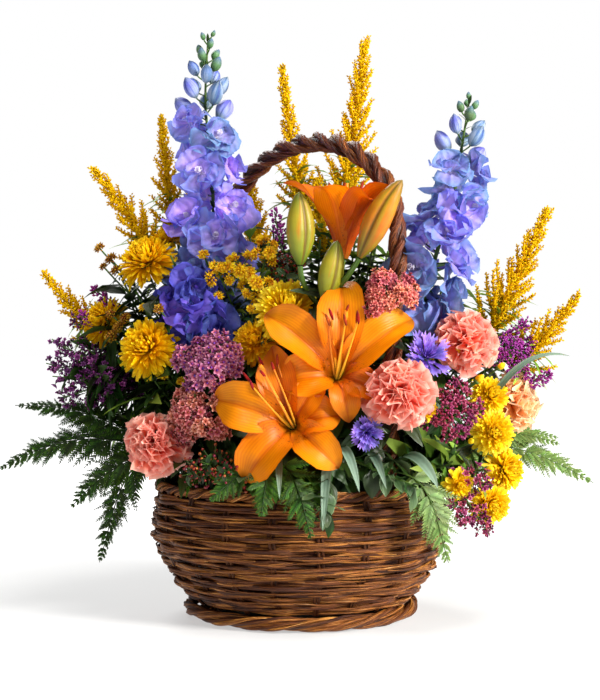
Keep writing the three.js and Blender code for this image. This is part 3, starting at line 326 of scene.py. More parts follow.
def bow(start, leave, end, arrive, count):
    """A curve from one point to another, leaving and arriving along given directions."""
    reach = 0.4 * np.linalg.norm(end - start, axis=-1, keepdims=True)
    return bezier(np.stack([start, start + leave * reach, end - arrive * reach, end], axis=-2), count)


def between_points(line, place):
    """The points of a line at places counted in its steps, and its directions there."""
    k = np.minimum(place.astype(int), len(line) - 2)
    share = (place - k)[:, None]
    return line[k] * (1 - share) + line[k + 1] * share, unit(line[k + 1] - line[k])


def smooth_line(points, count):
    """A smooth line through a few points, by Catmull-Rom pieces."""
    points = np.asarray(points, float)
    padded = np.vstack([2 * points[0] - points[1], points, 2 * points[-1] - points[-2]])
    place = np.linspace(0, len(points) - 1, count)
    k = np.minimum(place.astype(int), len(points) - 2)
    t = (place - k)[:, None]
    a, b, c, d = (padded[k + j] for j in range(4))
    bend, change = 2 * a - 5 * b + 4 * c - d, 3 * b - a - 3 * c + d
    return 0.5 * (2 * b + (c - a) * t + bend * t ** 2 + change * t ** 3)


def stem_line(spot, end, arrive, count):
    """The way of a stem out of its hole in the foam to the foot of a head."""
    inner = mm([INWARD * spot[0], INWARD * spot[1], FOAM_TOP - STEM_DEPTH])
    entry = mm([*spot, FOAM_TOP])
    rise = unit(entry - inner)
    return np.vstack([inner, bow(entry + STRAIGHT * MM * rise, rise, end, unit(arrive), count)])


def whole_stem(spot, curve, count, heading=None):
    """A stem's line on through the curve of its spike or twig."""
    heading = unit(curve[1] - curve[0]) if heading is None else heading
    return np.vstack([stem_line(spot, curve[0], heading, count), curve[1:]])


def grow_lines(root, direction, up, length, curl, rows):
    """Ribs that set off along their directions and bend evenly towards `up`, by `curl` radians in all."""
    t = np.linspace(0, 1, rows)
    length = np.asarray(length)[:, None]
    least = 1e-3
    curl = np.broadcast_to(np.asarray(curl, float), np.shape(length)[:1])[:, None]
    curl = np.where(np.abs(curl) < least, least, curl)
    forward = np.sin(curl * t) / curl * length
    rise = (1 - np.cos(curl * t)) / curl * length
    return root[:, None] + forward[..., None] * direction[:, None] + rise[..., None] * up[:, None]


# Meshes

def place_in_scene(name, data):
    made = bpy.data.objects.new(name, data)
    bpy.context.scene.collection.objects.link(made)
    return made


class Surface:
    """Grids of points that become one mesh, with three values at each point for its material to read:
    along, from root to tip, sideways, from edge to edge, and tone, one for each repeat."""

    def __init__(self):
        self.points, self.values, self.quads, self.looks = [], [], [], []
        self.count = 0

    def add(self, grid, along, sideways, tone, closed=False, look=0):
        """Adds repeats of a grid, each with rows from root to tip and columns that may close into a tube."""
        copies, rows, columns = grid.shape[:3]
        index = self.count + np.arange(copies * rows * columns).reshape(copies, rows, columns)
        left = index if closed else index[:, :, :-1]
        right = np.roll(index, -1, axis=2) if closed else index[:, :, 1:]
        quads = np.stack([left[:, :-1], right[:, :-1], right[:, 1:], left[:, 1:]], axis=-1).reshape(-1, 4)
        values = [np.broadcast_to(v, grid.shape[:3]).ravel() for v in (along, sideways, tone)]
        self.points.append(grid.reshape(-1, 3))
        self.values.append(np.stack(values, axis=-1))
        self.quads.append(quads)
        self.looks.append(np.full(len(quads), look))
        self.count += index.size

    def piece(self, name, looks, slot, *nodes):
        """Makes the mesh, rides it on the frame and lets it stand for its CAD nodes."""
        points, quads, values = (np.concatenate(x) for x in (self.points, self.quads, self.values))
        mesh = bpy.data.meshes.new(name)
        mesh.vertices.add(len(points))
        mesh.vertices.foreach_set("co", points.astype(np.float32).ravel())
        mesh.loops.add(quads.size)
        mesh.loops.foreach_set("vertex_index", quads.astype(np.int32).ravel())
        mesh.polygons.add(len(quads))
        mesh.polygons.foreach_set("loop_start", np.arange(0, quads.size, 4, dtype=np.int32))
        mesh.polygons.foreach_set("material_index", np.concatenate(self.looks).astype(np.int32))
        mesh.polygons.foreach_set("use_smooth", np.ones(len(quads), bool))
        mesh.update(calc_edges=True)
        for i, key in enumerate(("along", "sideways", "tone")):
            attribute = mesh.attributes.new(key, "FLOAT", "POINT")
            attribute.data.foreach_set("value", values[:, i].astype(np.float32))
        for look in looks:
            mesh.materials.append(look)
        made = place_in_scene(name, mesh)
        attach(made, "root")
        if nodes:
            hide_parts(*nodes)


def column(value, copies):
    """One value for each repeat, shaped to spread over its grid."""
    return np.broadcast_to(np.asarray(value, float), (copies,))[:, None, None]


def ribbons(surface, lines, up, half, columns, cup=0.0, wave=0.0, waves=2.0, pleat=0.0, pleats=3.0,
            fringe=0.0, teeth=6, bow_back=0.0, twist=0.0, phase=0.0, tone=0.5, look=0, groove=0.0):
    """Petals and leaves along ribs: `half` is their half-width along the rib. As shares of it they are
    hollowed by `cup`, grooved along the rib, waved and pleated along their edges, and bowed back there.
    `fringe`, a share of the length, tooths their far ends, and `twist` turns them, in radians."""
    lines = np.asarray(lines, float)
    copies, rows = lines.shape[:2]
    tangent = unit(np.gradient(lines, axis=1))
    side = unit(np.cross(tangent, np.broadcast_to(up[:, None], lines.shape)))
    normal = np.cross(side, tangent)
    v = np.linspace(0, 1, rows)[None, :, None]
    u = np.linspace(-1, 1, columns)[None, None, :]
    half = np.broadcast_to(half, (copies, rows))[:, :, None]
    length = np.linalg.norm(lines[:, -1] - lines[:, 0], axis=-1)[:, None, None]
    cup, wave, pleat, twist, phase = (column(x, copies) for x in (cup, wave, pleat, twist, phase))
    saw = np.abs((u * teeth / 2 + phase) % 1 - 0.5) * 2
    edges_apart, groove_width = 1.3, 0.13
    ripple = np.sin(TURN * (waves * v + phase) + edges_apart * np.sign(u))
    height = cup * u ** 2 + wave * np.abs(u) ** 2 * ripple
    height = height + pleat * v ** 2 * np.sin(math.pi * pleats * u + TURN * phase)
    height = height - groove * (1 - 0.7 * v) * np.exp(-(u / groove_width) ** 2)
    x, z = u * half, height * half
    turn = twist * v
    x, z = x * np.cos(turn) - z * np.sin(turn), x * np.sin(turn) + z * np.cos(turn)
    y = -bow_back * half * u ** 2 * v - fringe * length * saw * v ** 6
    grid = lines[:, :, None] + x[..., None] * side[:, :, None] + z[..., None] * normal[:, :, None]
    grid = grid + y[..., None] * tangent[:, :, None]
    surface.add(grid, v, u, column(tone, copies), look=look)


def by_chance(rng, count, turn):
    """Ribbons' phases, turns of up to half of `turn` both ways, and tones."""
    return {"phase": rng.random(count), "twist": turn * (rng.random(count) - 0.5), "tone": rng.random(count)}


def mixed_leaves(surface, rng, lines, up, half, kinds, turn, *shape):
    """Leaves of several looks, each look for its own choice of the lines."""
    for look, chosen in kinds:
        chance = by_chance(rng, chosen.sum(), turn)
        ribbons(surface, lines[chosen], up[chosen], half[chosen], *shape, look=look, **chance)


def tubes(surface, paths, radius, sides, flat=1.0, relief=None, along=None, tone=0.5, look=0):
    """Rods, stalks, buds and berries round their paths, with a radius for each point."""
    paths = np.asarray(paths, float)
    paths = paths[None] if paths.ndim == 2 else paths
    copies, rows = paths.shape[:2]
    tangent = unit(np.gradient(paths, axis=1))
    side = np.empty_like(paths)
    current = across(tangent[:, 0])[0]
    for k in range(rows):
        current = unit(current - dot(current, tangent[:, k]) * tangent[:, k])
        side[:, k] = current
    up = np.cross(tangent, side)
    angle = TURN * np.arange(sides) / sides
    radius = np.broadcast_to(radius, (copies, rows))[:, :, None] * (1 + (relief(angle) if relief else 0))
    x, y = (radius * np.cos(angle))[..., None], (flat * radius * np.sin(angle))[..., None]
    grid = paths[:, :, None] + x * side[:, :, None] + y * up[:, :, None]
    if along is None:
        along = np.linspace(0, 1, rows)[None, :, None]
    surface.add(grid, along, angle / TURN, column(tone, copies), closed=True, look=look)


def arc_length(paths):
    """The length along each path up to each of its points."""
    steps = np.linalg.norm(np.diff(paths, axis=-2), axis=-1)
    return np.concatenate([np.zeros((*steps.shape[:-1], 1)), np.cumsum(steps, axis=-1)], axis=-1)[..., None]


def rod(surface, path, radius, sides, tone=0.5, look=0, flat=1.0, start=0.0):
    """One stem or willow rod, with the length along it for its bark; radii are in millimetres."""
    along = arc_length(path)[None] + start
    tubes(surface, path, radius * MM, sides, flat, along=along, tone=tone, look=look)


def beads(surface, places, axes, length, width, rows=4, sides=5, tone=0.5, look=0, blunt=0.7, relief=None):
    """Small rounded bodies, such as berries, buds and grains, each along its own axis from its place."""
    t = np.linspace(0, 1, rows)
    length = np.broadcast_to(length, len(places))[:, None, None]
    width = np.broadcast_to(width, len(places))[:, None]
    paths = places[:, None] + axes[:, None] * t[None, :, None] * length
    radii = width / 2 * np.maximum(np.sin(math.pi * t ** 0.9) ** blunt, 0.06)
    tubes(surface, paths, radii, sides, relief=relief, tone=tone, look=look)


def oval(rows, widest, blunt=0.8, foot=0.06, tip=0.02):
    """Half-widths along a petal or leaf, 1 at its widest place."""
    t = np.linspace(0, 1, rows)
    power = math.log(0.5) / math.log(widest)
    body = np.sin(math.pi * t ** power) ** blunt
    return np.maximum(body, foot * (1 - t) + tip * t)


def fan(rows, foot, spread):
    """Half-widths of a petal that widens from a narrow claw to a broad outer edge."""
    return foot + (1 - foot) * np.linspace(0, 1, rows) ** spread


def flower_head(centre, face, size):
    """A head's middle and size in metres, and the direction it faces."""
    return mm(centre), unit(face), size * MM


# Looks

def colour(code):
    """A linear colour from a screen colour's hex code."""
    parts = [int(code[k:k + 2], 16) / 255 for k in (0, 2, 4)]
    return [*(p / 12.92 if p <= 0.04045 else ((p + 0.055) / 1.055) ** 2.4 for p in parts), 1]


class Look:
    """A procedural material that reads a piece's three values."""

    def __init__(self, name):
        self.made = bpy.data.materials.new(name)
        self.made.use_nodes = True
        self.tree = self.made.node_tree
        self.shader = self.tree.nodes["Principled BSDF"]
        self.along, self.sideways, self.tone = (self.attribute(key) for key in ("along", "sideways", "tone"))

    def put(self, socket, value):
        if isinstance(value, bpy.types.NodeSocket):
            self.tree.links.new(value, socket)
        else:
            socket.default_value = colour(value) if isinstance(value, str) else value

    def node(self, kind, *values, **settings):
        """A new node with its settings, and with values or links for its first inputs."""
        made = self.tree.nodes.new("ShaderNode" + kind)
        for key, setting in settings.items():
            setattr(made, key, setting)
        for socket, value in zip(made.inputs, values):
            self.put(socket, value)
        return made

    def attribute(self, key):
        return self.node("Attribute", attribute_name=key).outputs["Fac"]

    def math(self, operation, *values):
        return self.node("Math", *values, operation=operation).outputs[0]

    def times(self, a, b):
        return self.math("MULTIPLY", a, b)

    def plus(self, a, b):
        return self.math("ADD", a, b)

    def between(self, value, low, high, start=0.0, end=1.0):
        """Where a value stands between two limits, from `start` to `end`."""
        return self.node("MapRange", value, low, high, start, end).outputs[0]

    def ramp(self, value, stops):
        node = self.node("ValToRGB", value)
        elements = node.color_ramp.elements
        while len(elements) < len(stops):
            elements.new(0.5)
        for element, (place, code) in zip(elements, stops):
            element.position = place
            element.color = colour(code)
        return node.outputs[0]

    def mix(self, share, a, b):
        node = self.node("Mix", share, data_type="RGBA")
        self.put(node.inputs[6], a)
        self.put(node.inputs[7], b)
        return node.outputs[2]

    def vary(self, base, hue, brightness, by=None):
        """Shifts hue and brightness up and down with a value, which is the tone if none is given."""
        by = self.tone if by is None else by
        node = self.node("HueSaturation")
        self.put(node.inputs["Hue"], self.between(by, 0, 1, 0.5 - hue, 0.5 + hue))
        self.put(node.inputs["Value"], self.between(by, 0, 1, 1 - brightness, 1 + brightness))
        self.put(node.inputs["Color"], base)
        return node.outputs[0]

    def noise(self, scale, detail, rough=0.55, vector=None):
        node = self.node("TexNoise")
        for key, value in (("Scale", scale), ("Detail", detail), ("Roughness", rough)):
            node.inputs[key].default_value = value
        if vector is None:
            vector = self.node("TexCoord").outputs["Object"]
        self.put(node.inputs["Vector"], vector)
        return node.outputs["Fac"]

    def around(self, stretch, width):
        """A place on a rod's bark that meets itself round the rod, different on each rod."""
        angle = self.times(self.sideways, TURN)
        shift = self.times(self.tone, 37)
        x = self.plus(self.times(self.along, stretch), shift)
        y, z = (self.times(self.math(way, angle), width) for way in ("COSINE", "SINE"))
        return self.node("CombineXYZ", x, self.plus(y, shift), z).outputs[0]

    def bump(self, height, strength, distance=0.001):
        node = self.node("Bump")
        node.inputs["Strength"].default_value = strength
        node.inputs["Distance"].default_value = distance
        self.put(node.inputs["Height"], height)
        self.put(self.shader.inputs["Normal"], node.outputs[0])

    def finish(self, base, rough=0.5, glow=0.0, gloss=0.5):
        """Sets the shader: `glow` is the share of light that comes through a thin petal or leaf."""
        self.put(self.shader.inputs["Base Color"], base)
        self.put(self.shader.inputs["Roughness"], rough)
        self.put(self.shader.inputs["Specular IOR Level"], gloss)
        if glow:
            through = self.node("BsdfTranslucent", base)
            both = self.node("MixShader", glow, self.shader.outputs[0], through.outputs[0])
            self.tree.links.new(both.outputs[0], self.tree.nodes["Material Output"].inputs[0])
        return self.made


def petal_look(name, stops, edge=None, rim=0.55, *, brightness, hue=0.012, veins=0.0, relief=0.25,
               rough=0.55, glow=0.3, gloss=0.35, mottle=0.12):
    """Petals and leaves: colours from root to tip, another along the edges, and fine veins."""
    look = Look(name)
    base = look.ramp(look.along, stops)
    if edge:
        outer = look.between(look.math("ABSOLUTE", look.sideways), rim, 1)
        base = look.mix(outer, base, edge)
    base = look.vary(base, hue, brightness)
    patches = look.noise(260, 3)
    base = look.vary(base, 0.004, mottle, patches)
    height = patches
    if veins:
        wander = look.times(look.noise(90, 2), 3.0)
        lines = look.math("SINE", look.plus(look.times(look.sideways, veins), wander))
        base = look.vary(base, 0.0, 0.07, look.between(lines, -1, 1))
        height = look.plus(look.times(lines, 0.5), patches)
    look.bump(height, relief)
    return look.finish(base, rough, glow, gloss)


def rod_look(name, stops, brightness, rough, relief=0.8, gloss=0.35):
    """Bark and stalks: streaks along the rod in colours from its creases to its ridges, with painted shade in
    the creases and painted highlights on the ridges.
    """
    look = Look(name)
    streaks = look.noise(1.0, 5, 0.65, look.around(30, 2.6))
    fine = look.noise(1.0, 4, 0.7, look.around(70, 8.0))
    mixed = look.plus(look.times(streaks, 0.6), look.times(fine, 0.4))
    base = look.vary(look.ramp(look.between(mixed, 0.3, 0.7), stops), 0.01, brightness)
    look.bump(mixed, relief, 0.0012)
    return look.finish(base, rough, gloss=gloss)


def grain_look(name, stops, brightness, hue=0.015, rough=0.6, glow=0.0, gloss=0.3, relief=0.3, folds=0.0):
    """Beads, buds and berries: colours from foot to tip and by the tone of each, and the folds of a bud."""
    look = Look(name)
    base = look.vary(look.ramp(look.along, stops), hue, brightness)
    if folds:
        streaks = look.noise(1.0, 3, 0.6, look.around(0.7, folds))
        base = look.mix(look.between(streaks, 0.48, 0.62, 0.0, 0.3), base, "e4ecf8")
        base = look.mix(look.between(streaks, 0.46, 0.34, 0.0, 0.7), base, "2c3c8c")
    specks = look.noise(700, 2)
    base = look.vary(base, 0.004, 0.12, specks)
    look.bump(specks, relief, 0.0006)
    return look.finish(base, rough, glow, gloss)


def lily_look(name, deep=0.0):
    """Orange tepals with a golden throat, faint lengthwise veins and small dark flecks near it."""
    look = Look(name)
    base = look.ramp(look.along, [
        (0.0, "7c8410"), (0.09, "c47a06"), (0.24, "d86a00"), (0.6, "e87e00"), (0.9, "ee8a02"),
        (1.0, "a8560a")])
    side = look.math("ABSOLUTE", look.sideways)
    base = look.mix(look.between(side, 0.0, 0.2, 0.6, 0.0), base, "cc5200")
    base = look.mix(look.between(side, 0.84, 1.0, 0, 0.6), base, "d06a06")
    # A darker red-orange, mixed in by the given share, is painted shade for the lily at the back that sits in
    # shade.
    if deep:
        base = look.mix(deep, base, "c43400")
    wander = look.times(look.noise(46, 3), 9.0)
    veins = look.math("SINE", look.plus(look.times(look.sideways, 52), wander))
    base = look.vary(base, 0.003, 0.04, look.between(veins, -1, 1))
    patches = look.noise(30, 3)
    base = look.vary(base, 0.012, 0.16, patches)
    base = look.vary(base, 0.008, 0.1)
    flecks = look.math("GREATER_THAN", look.noise(420, 1), 0.66)
    near = look.times(look.between(look.along, 0.12, 0.2), look.between(look.along, 0.5, 0.34))
    base = look.mix(look.times(look.times(flecks, near), 0.6), base, "6e2408")
    look.bump(look.plus(look.times(veins, 0.25), patches), 0.3, 0.0006)
    return look.finish(base, 0.42, glow=0.3, gloss=0.25)


LEAF = petal_look(
    "leaf", [(0.0, "18290b"), (0.5, "233a10"), (1.0, "37541b")], edge="2c4614", veins=9.0, brightness=0.55,
    hue=0.03, rough=0.45, glow=0.2, gloss=0.45)
LIME = petal_look(
    "lime_leaf", [(0.0, "4c6c1c"), (0.5, "70902a"), (1.0, "9cb646")], brightness=0.3, hue=0.02, glow=0.3)
STEM = rod_look(
    "stem", [(0.0, "22380f"), (0.5, "3f5e1c"), (1.0, "64842f")], brightness=0.3, rough=0.5, relief=0.2)
# In both willow looks the near-black lowest stop is painted shade in the bark's creases and the palest stops
# are painted highlights on its ridges; the browns between are the bark's own colour.
WILLOW = rod_look("willow", [
    (0.0, "080200"), (0.28, "281004"), (0.5, "643110"), (0.68, "a86629"), (0.85, "dca464"), (1.0, "e8cca4"),
], brightness=0.75, rough=0.5, gloss=0.25)
DARK_WILLOW = rod_look("dark_willow", [
    (0.0, "080200"), (0.3, "2a1004"), (0.55, "642a0a"), (0.78, "a4581c"), (1.0, "d8984c"),
], brightness=0.5, rough=0.42, gloss=0.42)


# Greenery that every plant shares: its stem and the leaves along it

def leafy_stem(name, spot, end, arrive, width, leaves, size, high=0.97):
    """A plant's stem from its hole in the foam to the foot of a head, with leaves that turn outwards."""
    rng = draws(name)
    surface = Surface()
    line = stem_line(spot, end, arrive, 22)
    rod(surface, line, width / 2, 7, rng.random())
    add_leaves(surface, rng, line[3:], leaves, size, 0.25, high)
    surface.piece(name, [STEM, LEAF], "green_stem")


def add_leaves(surface, rng, line, count, size, low=0.2, high=0.97, slim=0.17, look=1):
    """Alternate leaves along a stem from `low` to `high`, longer below, each with its own bend."""
    t = low + (high - low) * (np.arange(count) + 0.3 * rng.random(count)) / count
    roots, tangent = between_points(line, t * (len(line) - 1))
    tilt = 1.0 + 0.35 * rng.random(count)
    direction = lean(tangent, tilt, GOLDEN_ANGLE * np.arange(count) + TURN * rng.random())
    up = facing(tangent, direction)
    length = size * MM * (1.1 - 0.4 * t) * (0.75 + 0.5 * rng.random(count))
    lines = grow_lines(roots, direction, up, length, -0.4 - 0.7 * rng.random(count), 7)
    half = slim * length[:, None] * oval(7, 0.42, 0.9)[None]
    ribbons(surface, lines, up, half, 3, 0.28, 0.12, look=look, **by_chance(rng, count, 0.7))


# The basket

def wall_middle(z):
    """The middle of the wall at a height, in millimetres."""
    return WALL["bulge"] - WALL["flare"] * (z - WALL["bulge_height"]) ** 2 - WALL["thick"] / 2


def ring_point(angle, radius, z):
    """Points round the basket's axis, from sizes in millimetres."""
    angle, radius, z = np.broadcast_arrays(angle, radius, z)
    return np.stack([radius * np.cos(angle), radius * np.sin(angle), z], axis=-1) * MM


def weave():
    """Pairs of stakes, a dark sheet behind the rows that paints shade into the gaps between the rods, and
    rows of rods that pass before and behind the stakes in turn.
    """
    rng = draws("basket_wall")
    surface = Surface()
    z = np.linspace(*STAKE_SPAN, 14)
    for k in range(STAKES):
        for shift in (-HALF_PAIR, HALF_PAIR):
            angle = FIRST_STAKE + TURN * k / STAKES + shift + 0.006 * np.sin(z / 9 + k)
            path = ring_point(angle, wall_middle(z), z)
            rod(surface, path, STAKE_RADIUS, 5, 0.3 * rng.random(), flat=0.7)
    # A sheet behind the rows in the darkest willow tone: painted shade seen through the gaps between the
    # rods.
    height = np.linspace(*SHADE_SHEET_SPAN, 8)[:, None]
    shade_sheet = ring_point(np.linspace(0, TURN, 49), wall_middle(height) - SHADE_SHEET_DEPTH, height)
    surface.add(shade_sheet[None], arc_length(shade_sheet)[None, ..., 0] * 0.5, 0.3, 0.02, look=1)
    for row in range(ROWS):
        bulge = ROW_BULGE * rng.normal()
        for kind in SPLIT_RODS:
            start = TURN * rng.random()
            stop = start + TURN
            while start < stop:
                start += split_rod(surface, rng, row, bulge, start, *kind)
    surface.piece("basket_wall_weave", [WILLOW, DARK_WILLOW], "wicker", "basket_wall")


def split_rod(surface, rng, row, bulge, start, low, more, lift, drop):
    """One split rod of a row, with its ends tucked in. Returns how far round the next one starts."""
    t = np.linspace(0, 1, 19)
    reach = 0.55 + 0.9 * rng.random()
    angle = start + t * (reach + OVERLAP)
    place = rng.random(4) * TURN
    pitch = (WALL["top"] - WALL["bottom"]) / ROWS
    height = WALL["bottom"] + pitch * (row + 0.5) + drop
    height = height + 0.8 * np.sin(3.1 * angle + place[0]) + 0.7 * np.sin(8.3 * angle + place[1])
    height = np.clip(height + (rng.random() - 0.5) * 7.0 * (t - 0.5), *ROW_SPAN)
    swing = SWING * np.cos(STAKES / 2 * (angle - FIRST_STAKE) + math.pi * row)
    out = wall_middle(height) + swing + 0.7 * np.sin(9.7 * angle + place[2])
    out = out + lift + 1.4 * (rng.random() - 0.5)
    out = out + bulge * np.sin(2 * angle + row)
    ends = np.minimum(1, np.minimum(t, 1 - t) * 8 + 0.25)
    thick = (low + more * rng.random()) * (1 + 0.16 * np.sin(13 * angle + place[3])) * ends
    path = ring_point(angle, out + 2.4 * (1 - ends), height)
    rod(surface, path, thick, 5, flat=1.1, start=3 * rng.random(), tone=rng.random())
    return reach


def rope(surface, rng, path, side, up, turns, kind, size=1.0):
    """A rope of three twisted strands of rods, along a path with its own two crosswise directions."""
    offset, spread, thick = (kind[key] * MM for key in ("offset", "spread", "thick"))
    t = np.linspace(0, 1, len(path))
    along = arc_length(path)[None]
    # The core is an inner rod of the rope, given the darkest tone as painted shade in the grooves between the
    # strands.
    tubes(surface, path, 0.7 * offset * size, 6, along=along, tone=0)
    for strand in range(3):
        angle = TURN * (strand / 3 + turns * t)
        pull = (offset * size * (1 + 0.05 * np.sin(5 * angle)))[:, None]
        middle = path + pull * (np.cos(angle)[:, None] * side + np.sin(angle)[:, None] * up)
        for k in range(kind["rods"]):
            phase = TURN * (k / kind["rods"] + rng.random() * 0.12)
            turn = phase + TURN * kind["own"] * turns * t + angle
            away = (spread * size * (0.85 + 0.3 * np.sin(7 * t * turns + phase)))[:, None]
            line = middle + away * (np.cos(turn)[:, None] * side + np.sin(turn)[:, None] * up)
            swell = 1 + 0.12 * np.sin(31 * t * turns / 3 + phase)
            radius = thick * size * (0.8 + 0.4 * rng.random()) * swell
            tubes(surface, line, radius, 5, 0.9, along=along + rng.random(), tone=rng.random())


def ring_rope(node, ring, slot):
    """A rope round the basket."""
    surface = Surface()
    angle = np.linspace(0, TURN, ring["rows"])
    path = ring_point(angle, ring["radius"], ring["height"])
    rope(surface, draws(node + "_rope"), path, level(angle), UP[None], ring["turns"], ring)
    surface.piece(node + "_rope", [WILLOW], slot, node)


def handle():
    """The arched handle: two legs inside the wall and a half-round arch, all one rope."""
    centre, span, spring = HANDLE["centre"], HANDLE["span"], HANDLE["spring"]
    rise = HANDLE["apex"] - spring
    bend = np.linspace(math.pi, 0, 17)
    arch = np.stack([centre + span * np.cos(bend), spring + rise * np.sin(bend)], axis=-1)

    def leg(hand):
        shoulder = [[hand * 130 + centre / 2, 270], [hand * span + centre, 332]]
        return [[hand * x, z] for x, z in LEG] + shoulder

    profile = np.vstack([leg(-1), arch, leg(1)[::-1]])
    turn = math.radians(HANDLE["turn"])
    outward = np.array([math.cos(turn), math.sin(turn), 0.0])
    line = smooth_line(profile[:, :1] * MM * outward + profile[:, 1:] * MM * UP, 900)
    place = arc_length(line)[:, 0]
    even = np.linspace(0, place[-1], HANDLE["rows"])
    path = np.stack([np.interp(even, place, line[:, k]) for k in range(3)], axis=-1)
    side = np.broadcast_to(unit(np.cross(UP, outward)), path.shape)
    up = np.cross(unit(np.gradient(path, axis=0)), side)
    turns = place[-1] / (HANDLE["pitch"] * MM)
    size = np.where(path[:, 2] < 150 * MM, HANDLE["slim"], 1.0)
    surface = Surface()
    rope(surface, draws("basket_handle"), path, side, up, turns, HANDLE, size)
    surface.piece("basket_handle_rope", [DARK_WILLOW], "dark_wicker", "basket_handle")


def base():
    """A floor of rods woven round crossed stakes."""
    rng = draws("basket_base")
    surface = Surface()
    for k in range(BASE["stakes"]):
        x = (k - BASE["stakes"] // 2) * BASE["stake_pitch"]
        reach = math.sqrt(BASE["radius"] ** 2 - x ** 2)
        path = mm([[y, x, BASE["middle"]] for y in np.linspace(-reach, reach, 12)])
        rod(surface, path, 2.4, 6, rng.random())
    for k in range(BASE["rings"]):
        angle = np.linspace(0, TURN, 16 + 2 * k)
        height = BASE["middle"] + 1.1 * np.cos(8 * angle + math.pi * k)
        path = ring_point(angle, BASE["first"] + k * BASE["ring_pitch"], height)
        rod(surface, path, 1.9, 5, rng.random())
    surface.piece("basket_base_weave", [WILLOW], "wicker", "basket_base")


def basket():
    """The woven pieces, each over its solid."""
    weave()
    base()
    ring_rope("basket_rim", RIM, "wicker")
    ring_rope("basket_foot", FOOT, "dark_wicker")
    handle()


# Lilies

TEPAL = lily_look("lily_tepal")
# The lily at the back gets a darker, redder copy of the tepal look as painted shade.
SHADED_TEPAL = lily_look("lily_tepal_shaded", 0.45)
FILAMENT = grain_look(
    "filament", [(0.0, "b0a030"), (0.35, "e8a024"), (1.0, "ee8a1c")], brightness=0.1, rough=0.4, glow=0.1)
ANTHER = grain_look(
    "anther", [(0.0, "6c1404"), (0.5, "a42c08"), (1.0, "701804")], brightness=0.25, rough=0.85, relief=0.9)
# Half-widths of a tepal and of a bud along their lengths, as shares of the width
TEPAL_PLACES = [0, 0.12, 0.25, 0.4, 0.55, 0.68, 0.8, 0.9, 0.96, 1.0]
TEPAL_HALF = [0.07, 0.13, 0.26, 0.41, 0.5, 0.51, 0.44, 0.29, 0.15, 0.015]
BUD_PLACES = [0, 0.05, 0.16, 0.3, 0.45, 0.62, 0.78, 0.9, 0.97, 1]
BUD_HALF = [0.1, 0.2, 0.35, 0.46, 0.5, 0.47, 0.38, 0.25, 0.13, 0.01]


def lily(name, base, face, tepals, openness, spot, stamens):
    """An open lily: recurved tepals, the inner three narrower, with its stamens and style."""
    rng = draws(name)
    foot, axis = mm(base), unit(face)
    surface = Surface()
    rows, count = 26, len(tepals)
    turn, length, width = np.array(tepals, float).T
    length, width = length * MM, width * MM
    out = lean(axis, np.full(count, math.pi / 2), np.radians(turn))
    points = np.stack([foot + (out * r + axis * h) * length[:, None] for r, h in OPENNESS[openness]], axis=1)
    t = np.linspace(0, 1, rows)
    tip = np.maximum(0, t - 0.68)[None, :, None] ** 2
    droop = tip * 1.5 * length[:, None, None] * (0.5 + rng.random((count, 1, 1))) * axis
    inner = np.arange(count) % 2
    half = np.interp(t, TEPAL_PLACES, TEPAL_HALF)[None] * width[:, None] * np.where(inner, 0.9, 1.06)[:, None]
    cup = 0.3 + 0.25 * rng.random(count)
    ribbons(surface, bezier(points, rows) - droop, axis + 0 * out, half, 15, cup, 0.3, 1.5, groove=0.2,
            **by_chance(rng, count, 0.8))
    add_stamens(surface, rng, foot, axis, unit(stamens))
    tepal = SHADED_TEPAL if name == "lily_back" else TEPAL
    surface.piece(name + "_bloom", [tepal, FILAMENT, ANTHER], "lily_orange", name)
    if spot:
        leafy_stem(name + "_stem", spot, foot - 4 * MM * axis, axis, 6, leaves=14, size=74, high=0.7)


def add_stamens(surface, rng, foot, axis, reach):
    """Six stamens that spread round the direction in which they reach, and the style."""
    count = 6
    turn = math.pi * np.arange(count) / 3
    away = (60 + 8 * rng.random((count, 1))) * MM
    tips = foot + away * lean(reach, 0.16 + 0.16 * rng.random(count), turn + 0.3)
    start = foot + 2 * MM * lean(axis, np.full(count, 1.4), turn)
    leave = lean(axis, np.full(count, 0.12), turn)
    arrive = unit(tips - start + 0.35 * np.linalg.norm(tips - start, axis=-1, keepdims=True) * reach)
    filaments = bow(start, leave, tips, arrive, 12)
    tubes(surface, filaments, np.linspace(1.2, 0.7, 12) * MM, 6, tone=rng.random(count), look=1)
    side = unit(np.cross(arrive, rng.normal(size=(count, 3))))
    lie = unit(0.3 * side + arrive)
    beads(surface, tips - 5 * MM * lie, lie, 13 * MM, 2.7 * MM, 9, 7, rng.random(count), 2, 0.4)
    style = bow(foot[None], axis[None], (foot + 70 * MM * reach)[None], reach[None], 14)
    tubes(surface, style, np.concatenate([np.linspace(1.5, 1.0, 12), [2.2, 1.6]]) * MM, 8, tone=0.7, look=1)


def bud_look(name, ripe):
    """Green ribs that ripen through yellow to orange between them."""
    look = Look(name)
    green = look.ramp(look.along, [(0.0, "4c6818"), (0.2, "7e861e"), (0.7, "988a1e"), (1.0, "566414")])
    warm = look.ramp(look.along, [(0.0, "8a540a"), (0.35, "b86208"), (0.8, "be740c"), (1.0, "80600e")])
    streaks = look.noise(1.0, 3, 0.5, look.around(1.6, 2.6))
    base = look.mix(look.between(streaks, 0.62 - 0.4 * ripe, 0.9 - 0.3 * ripe), green, warm)
    base = look.vary(base, 0.006, 0.1, look.noise(120, 3))
    ridge = look.math("COSINE", look.times(look.sideways, 3 * TURN))
    base = look.mix(look.between(ridge, -0.8, -1.0, 0.0, 0.75), base, "5c3c06")
    look.bump(look.noise(1.0, 3, 0.5, look.around(3, 6.0)), 0.25, 0.0008)
    return look.finish(base, 0.45, glow=0.06, gloss=0.35)


